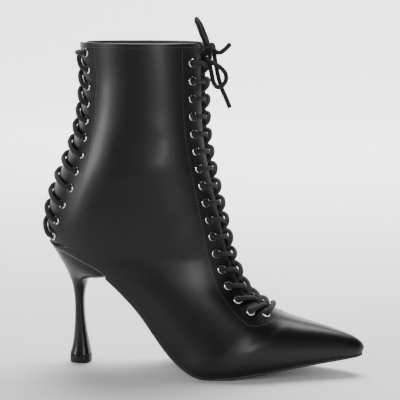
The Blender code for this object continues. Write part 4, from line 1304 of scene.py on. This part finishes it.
def make_stitching(finish):
    """The rows of stitches beside the seams and under the collar's folded edge."""
    front = list(even_rows(0.06, SEAM_ROUND_FROM, 0.004)) + arc_rows(SEAM_ROUND_FROM, SEAM_END, 24)[1:]
    back = even_rows(0.06, 10.6, 0.004)
    shape = stitch_shape()
    for word, side in (("outer", LATERAL), ("inner", MEDIAL)):
        around = along(side_curve(COLLAR_STITCH_ROW, side))[-1]
        first = slit_half(COLLAR_STITCH_ROW) + 0.003
        last = around - throat_half(COLLAR_STITCH_ROW) - 0.004
        rows = {
            "front_seam": [(t, front_seam(t) + STITCH_BESIDE_SEAM, "front") for t in front],
            "back_seam": [(t, back_seam(t) + STITCH_BESIDE_SEAM, "back") for t in back],
            "collar": [(COLLAR_STITCH_ROW, reach, "back") for reach in np.linspace(first, last, 50)],
        }
        for label, places in rows.items():
            found = [surface_frame(t, side * reach, line) for t, reach, line in places]
            outs = np.array([out for _, out, _ in found])
            spots = np.array([point for point, _, _ in found]) + outs * PANEL_STEP
            points, faces = spread(*shape, stitch_frames(spots, outs))
            piece(f"{label}_stitches_{word}", points, faces, [finish])


# The studio


def area_light(name, spot, aim, wide, tall, power, beam):
    """A soft rectangular light that throws a beam of so many degrees and stays out of the picture."""
    data = bpy.data.lights.new(name, "AREA")
    data.shape = "RECTANGLE"
    data.size, data.size_y = wide, tall
    data.energy = power
    data.spread = math.radians(beam)
    light = bpy.data.objects.new(name, data)
    light.location = spot
    light.visible_camera = False
    light.rotation_mode = "QUATERNION"
    light.rotation_quaternion = (Vector(aim) - Vector(spot)).to_track_quat("-Z", "Y")
    bpy.context.scene.collection.objects.link(light)


def sweep_finish():
    """Pale studio sweep: the floor near the boot is plain, and the wall behind it glows."""
    finish = Finish("studio_sweep", roughness=0.9, specular_ior_level=0.2, emission_strength=2.4)
    spot = finish.node("SeparateXYZ", {}, {"Vector": finish.place()}, "Y")
    away = finish.node("VectorMath", {"operation": "LENGTH"}, {0: finish.place()}, "Value")
    smooth = {"clamp": True, "interpolation_type": "SMOOTHSTEP"}
    behind = finish.node("MapRange", smooth, {"Value": spot, "From Min": 0.20, "From Max": 1.70})
    ends = {"Value": away, "From Min": 1.60, "From Max": 3.60, "To Max": 0.3}
    around = finish.node("MapRange", smooth, ends)
    glow = finish.maths("MAXIMUM", behind, around)
    clouds = finish.noise(finish.place(), 1.2, 2)
    lit = finish.blend(glow, (0.0, 0.0, 0.0), (1.0, 1.0, 1.0))
    pale = finish.blend(clouds, (0.84, 0.84, 0.84), (0.86, 0.86, 0.86))
    return finish.drive(base_color=pale, emission_color=lit)


FLOOR_REACH = 60.0


def make_studio():
    """A pale sweep, two upright strips of light before the boot and a broad one above it."""
    bend, wall = 0.6, 2.2
    profile = [(-FLOOR_REACH, 0.0), (0.4, 0.0)] + [(0.4 + 0.12 * k, 0.0) for k in range(1, 11)]
    for angle in np.linspace(0.05, math.pi / 2, 14):
        profile.append((wall - bend + bend * math.sin(angle), bend - bend * math.cos(angle)))
    profile.append((wall, 1.4))
    points = [(x, y, z) for y, z in profile for x in (-FLOOR_REACH, FLOOR_REACH)]
    faces = [(2 * k, 2 * k + 1, 2 * k + 3, 2 * k + 2) for k in range(len(profile) - 1)]
    mesh = bpy.data.meshes.new("studio_sweep")
    mesh.from_pydata(points, [], faces)
    mesh.materials.append(sweep_finish())
    mesh.shade_smooth()
    floor = bpy.data.objects.new("studio_sweep", mesh)
    floor.location.z = -0.0002
    bpy.context.scene.collection.objects.link(floor)
    world = bpy.data.worlds.new("studio")
    world.use_nodes = True
    sky = world.node_tree.nodes["Background"]
    sky.inputs["Color"].default_value = (1.0, 1.0, 1.0, 1.0)
    sky.inputs["Strength"].default_value = 0.07
    bpy.context.scene.world = world

    def strip(name, azimuth, far, wide, tall, low, power):
        turn = math.radians(azimuth)
        spot = (0.05 + far * math.sin(turn), -far * math.cos(turn), low + tall / 2)
        area_light(name, spot, (0.05, 0.0, low + tall / 2 - 0.1), wide, tall, power, 70.0)

    strip("soft_left", -52, 1.5, 0.34, 1.0, 0.10, 3.4)
    strip("soft_right", 20, 1.5, 0.36, 1.0, 0.10, 2.2)
    area_light("soft_top", (0.1, 0.75, 1.5), (0.1, 0.65, 0.0), 1.4, 1.0, 24.0, 100)


def main():
    place_camera()
    leather = smooth_leather("black_leather", (0.0025, 0.0025, 0.0027), (0.0045, 0.0045, 0.0048),
                             0.36, 0.000018, 0.16, faced=True)
    panels = smooth_leather("panel_leather", (0.0030, 0.0030, 0.0032), (0.0050, 0.0050, 0.0053),
                            0.40, 0.000020)
    bead = smooth_leather("bead_leather", (0.050, 0.050, 0.052), (0.075, 0.075, 0.078), 0.30, 0.00001, 0.30)
    lining = lining_finish()
    cotton = cord_finish()
    make_upper(leather, lining)
    throat = THROAT_HALF + PANEL_LAP
    make_panel("tongue_panel", "tongue", "front", even_rows(0.12, 17.3, 0.004), throat, panels)
    slit = BACK_SLIT_HALF + BACK_PANEL_LAP
    make_panel("back_lace_panel", "back_panel", "back", even_rows(0.12, 8.62, 0.004), slit, panels)
    rows = [*even_rows(AT_BREAST + 0.02, AT_TIP - 0.12, 0.0025), AT_TIP - 0.08, AT_TIP - 0.05]
    depths = FIT_GAP, FIT_GAP + SOLE_THICK
    make_plate("thin_outsole", "outsole", "sole_black", rows, SOLE_MARGIN, *depths, sole_finish(), 0.0)
    rows = even_rows(9.15, 23.8, 0.003)
    inside = -(UPPER_WALL + 0.0012)
    make_plate("insole_board", "insole", "lining_leather", rows, inside, -INSOLE_THICK, -0.0001, lining)
    make_heel(heel_finish())
    make_seat_bead(bead)
    make_lift(rubber_finish())
    make_lacing("front", "front_lace_cord", "front_lacing", cotton)
    make_lacing("back", "back_lace_cord", "back_lacing", cotton)
    make_bow(cotton)
    make_eyelets(metal_finish())
    make_stitching(thread_finish())
    make_studio()


main()
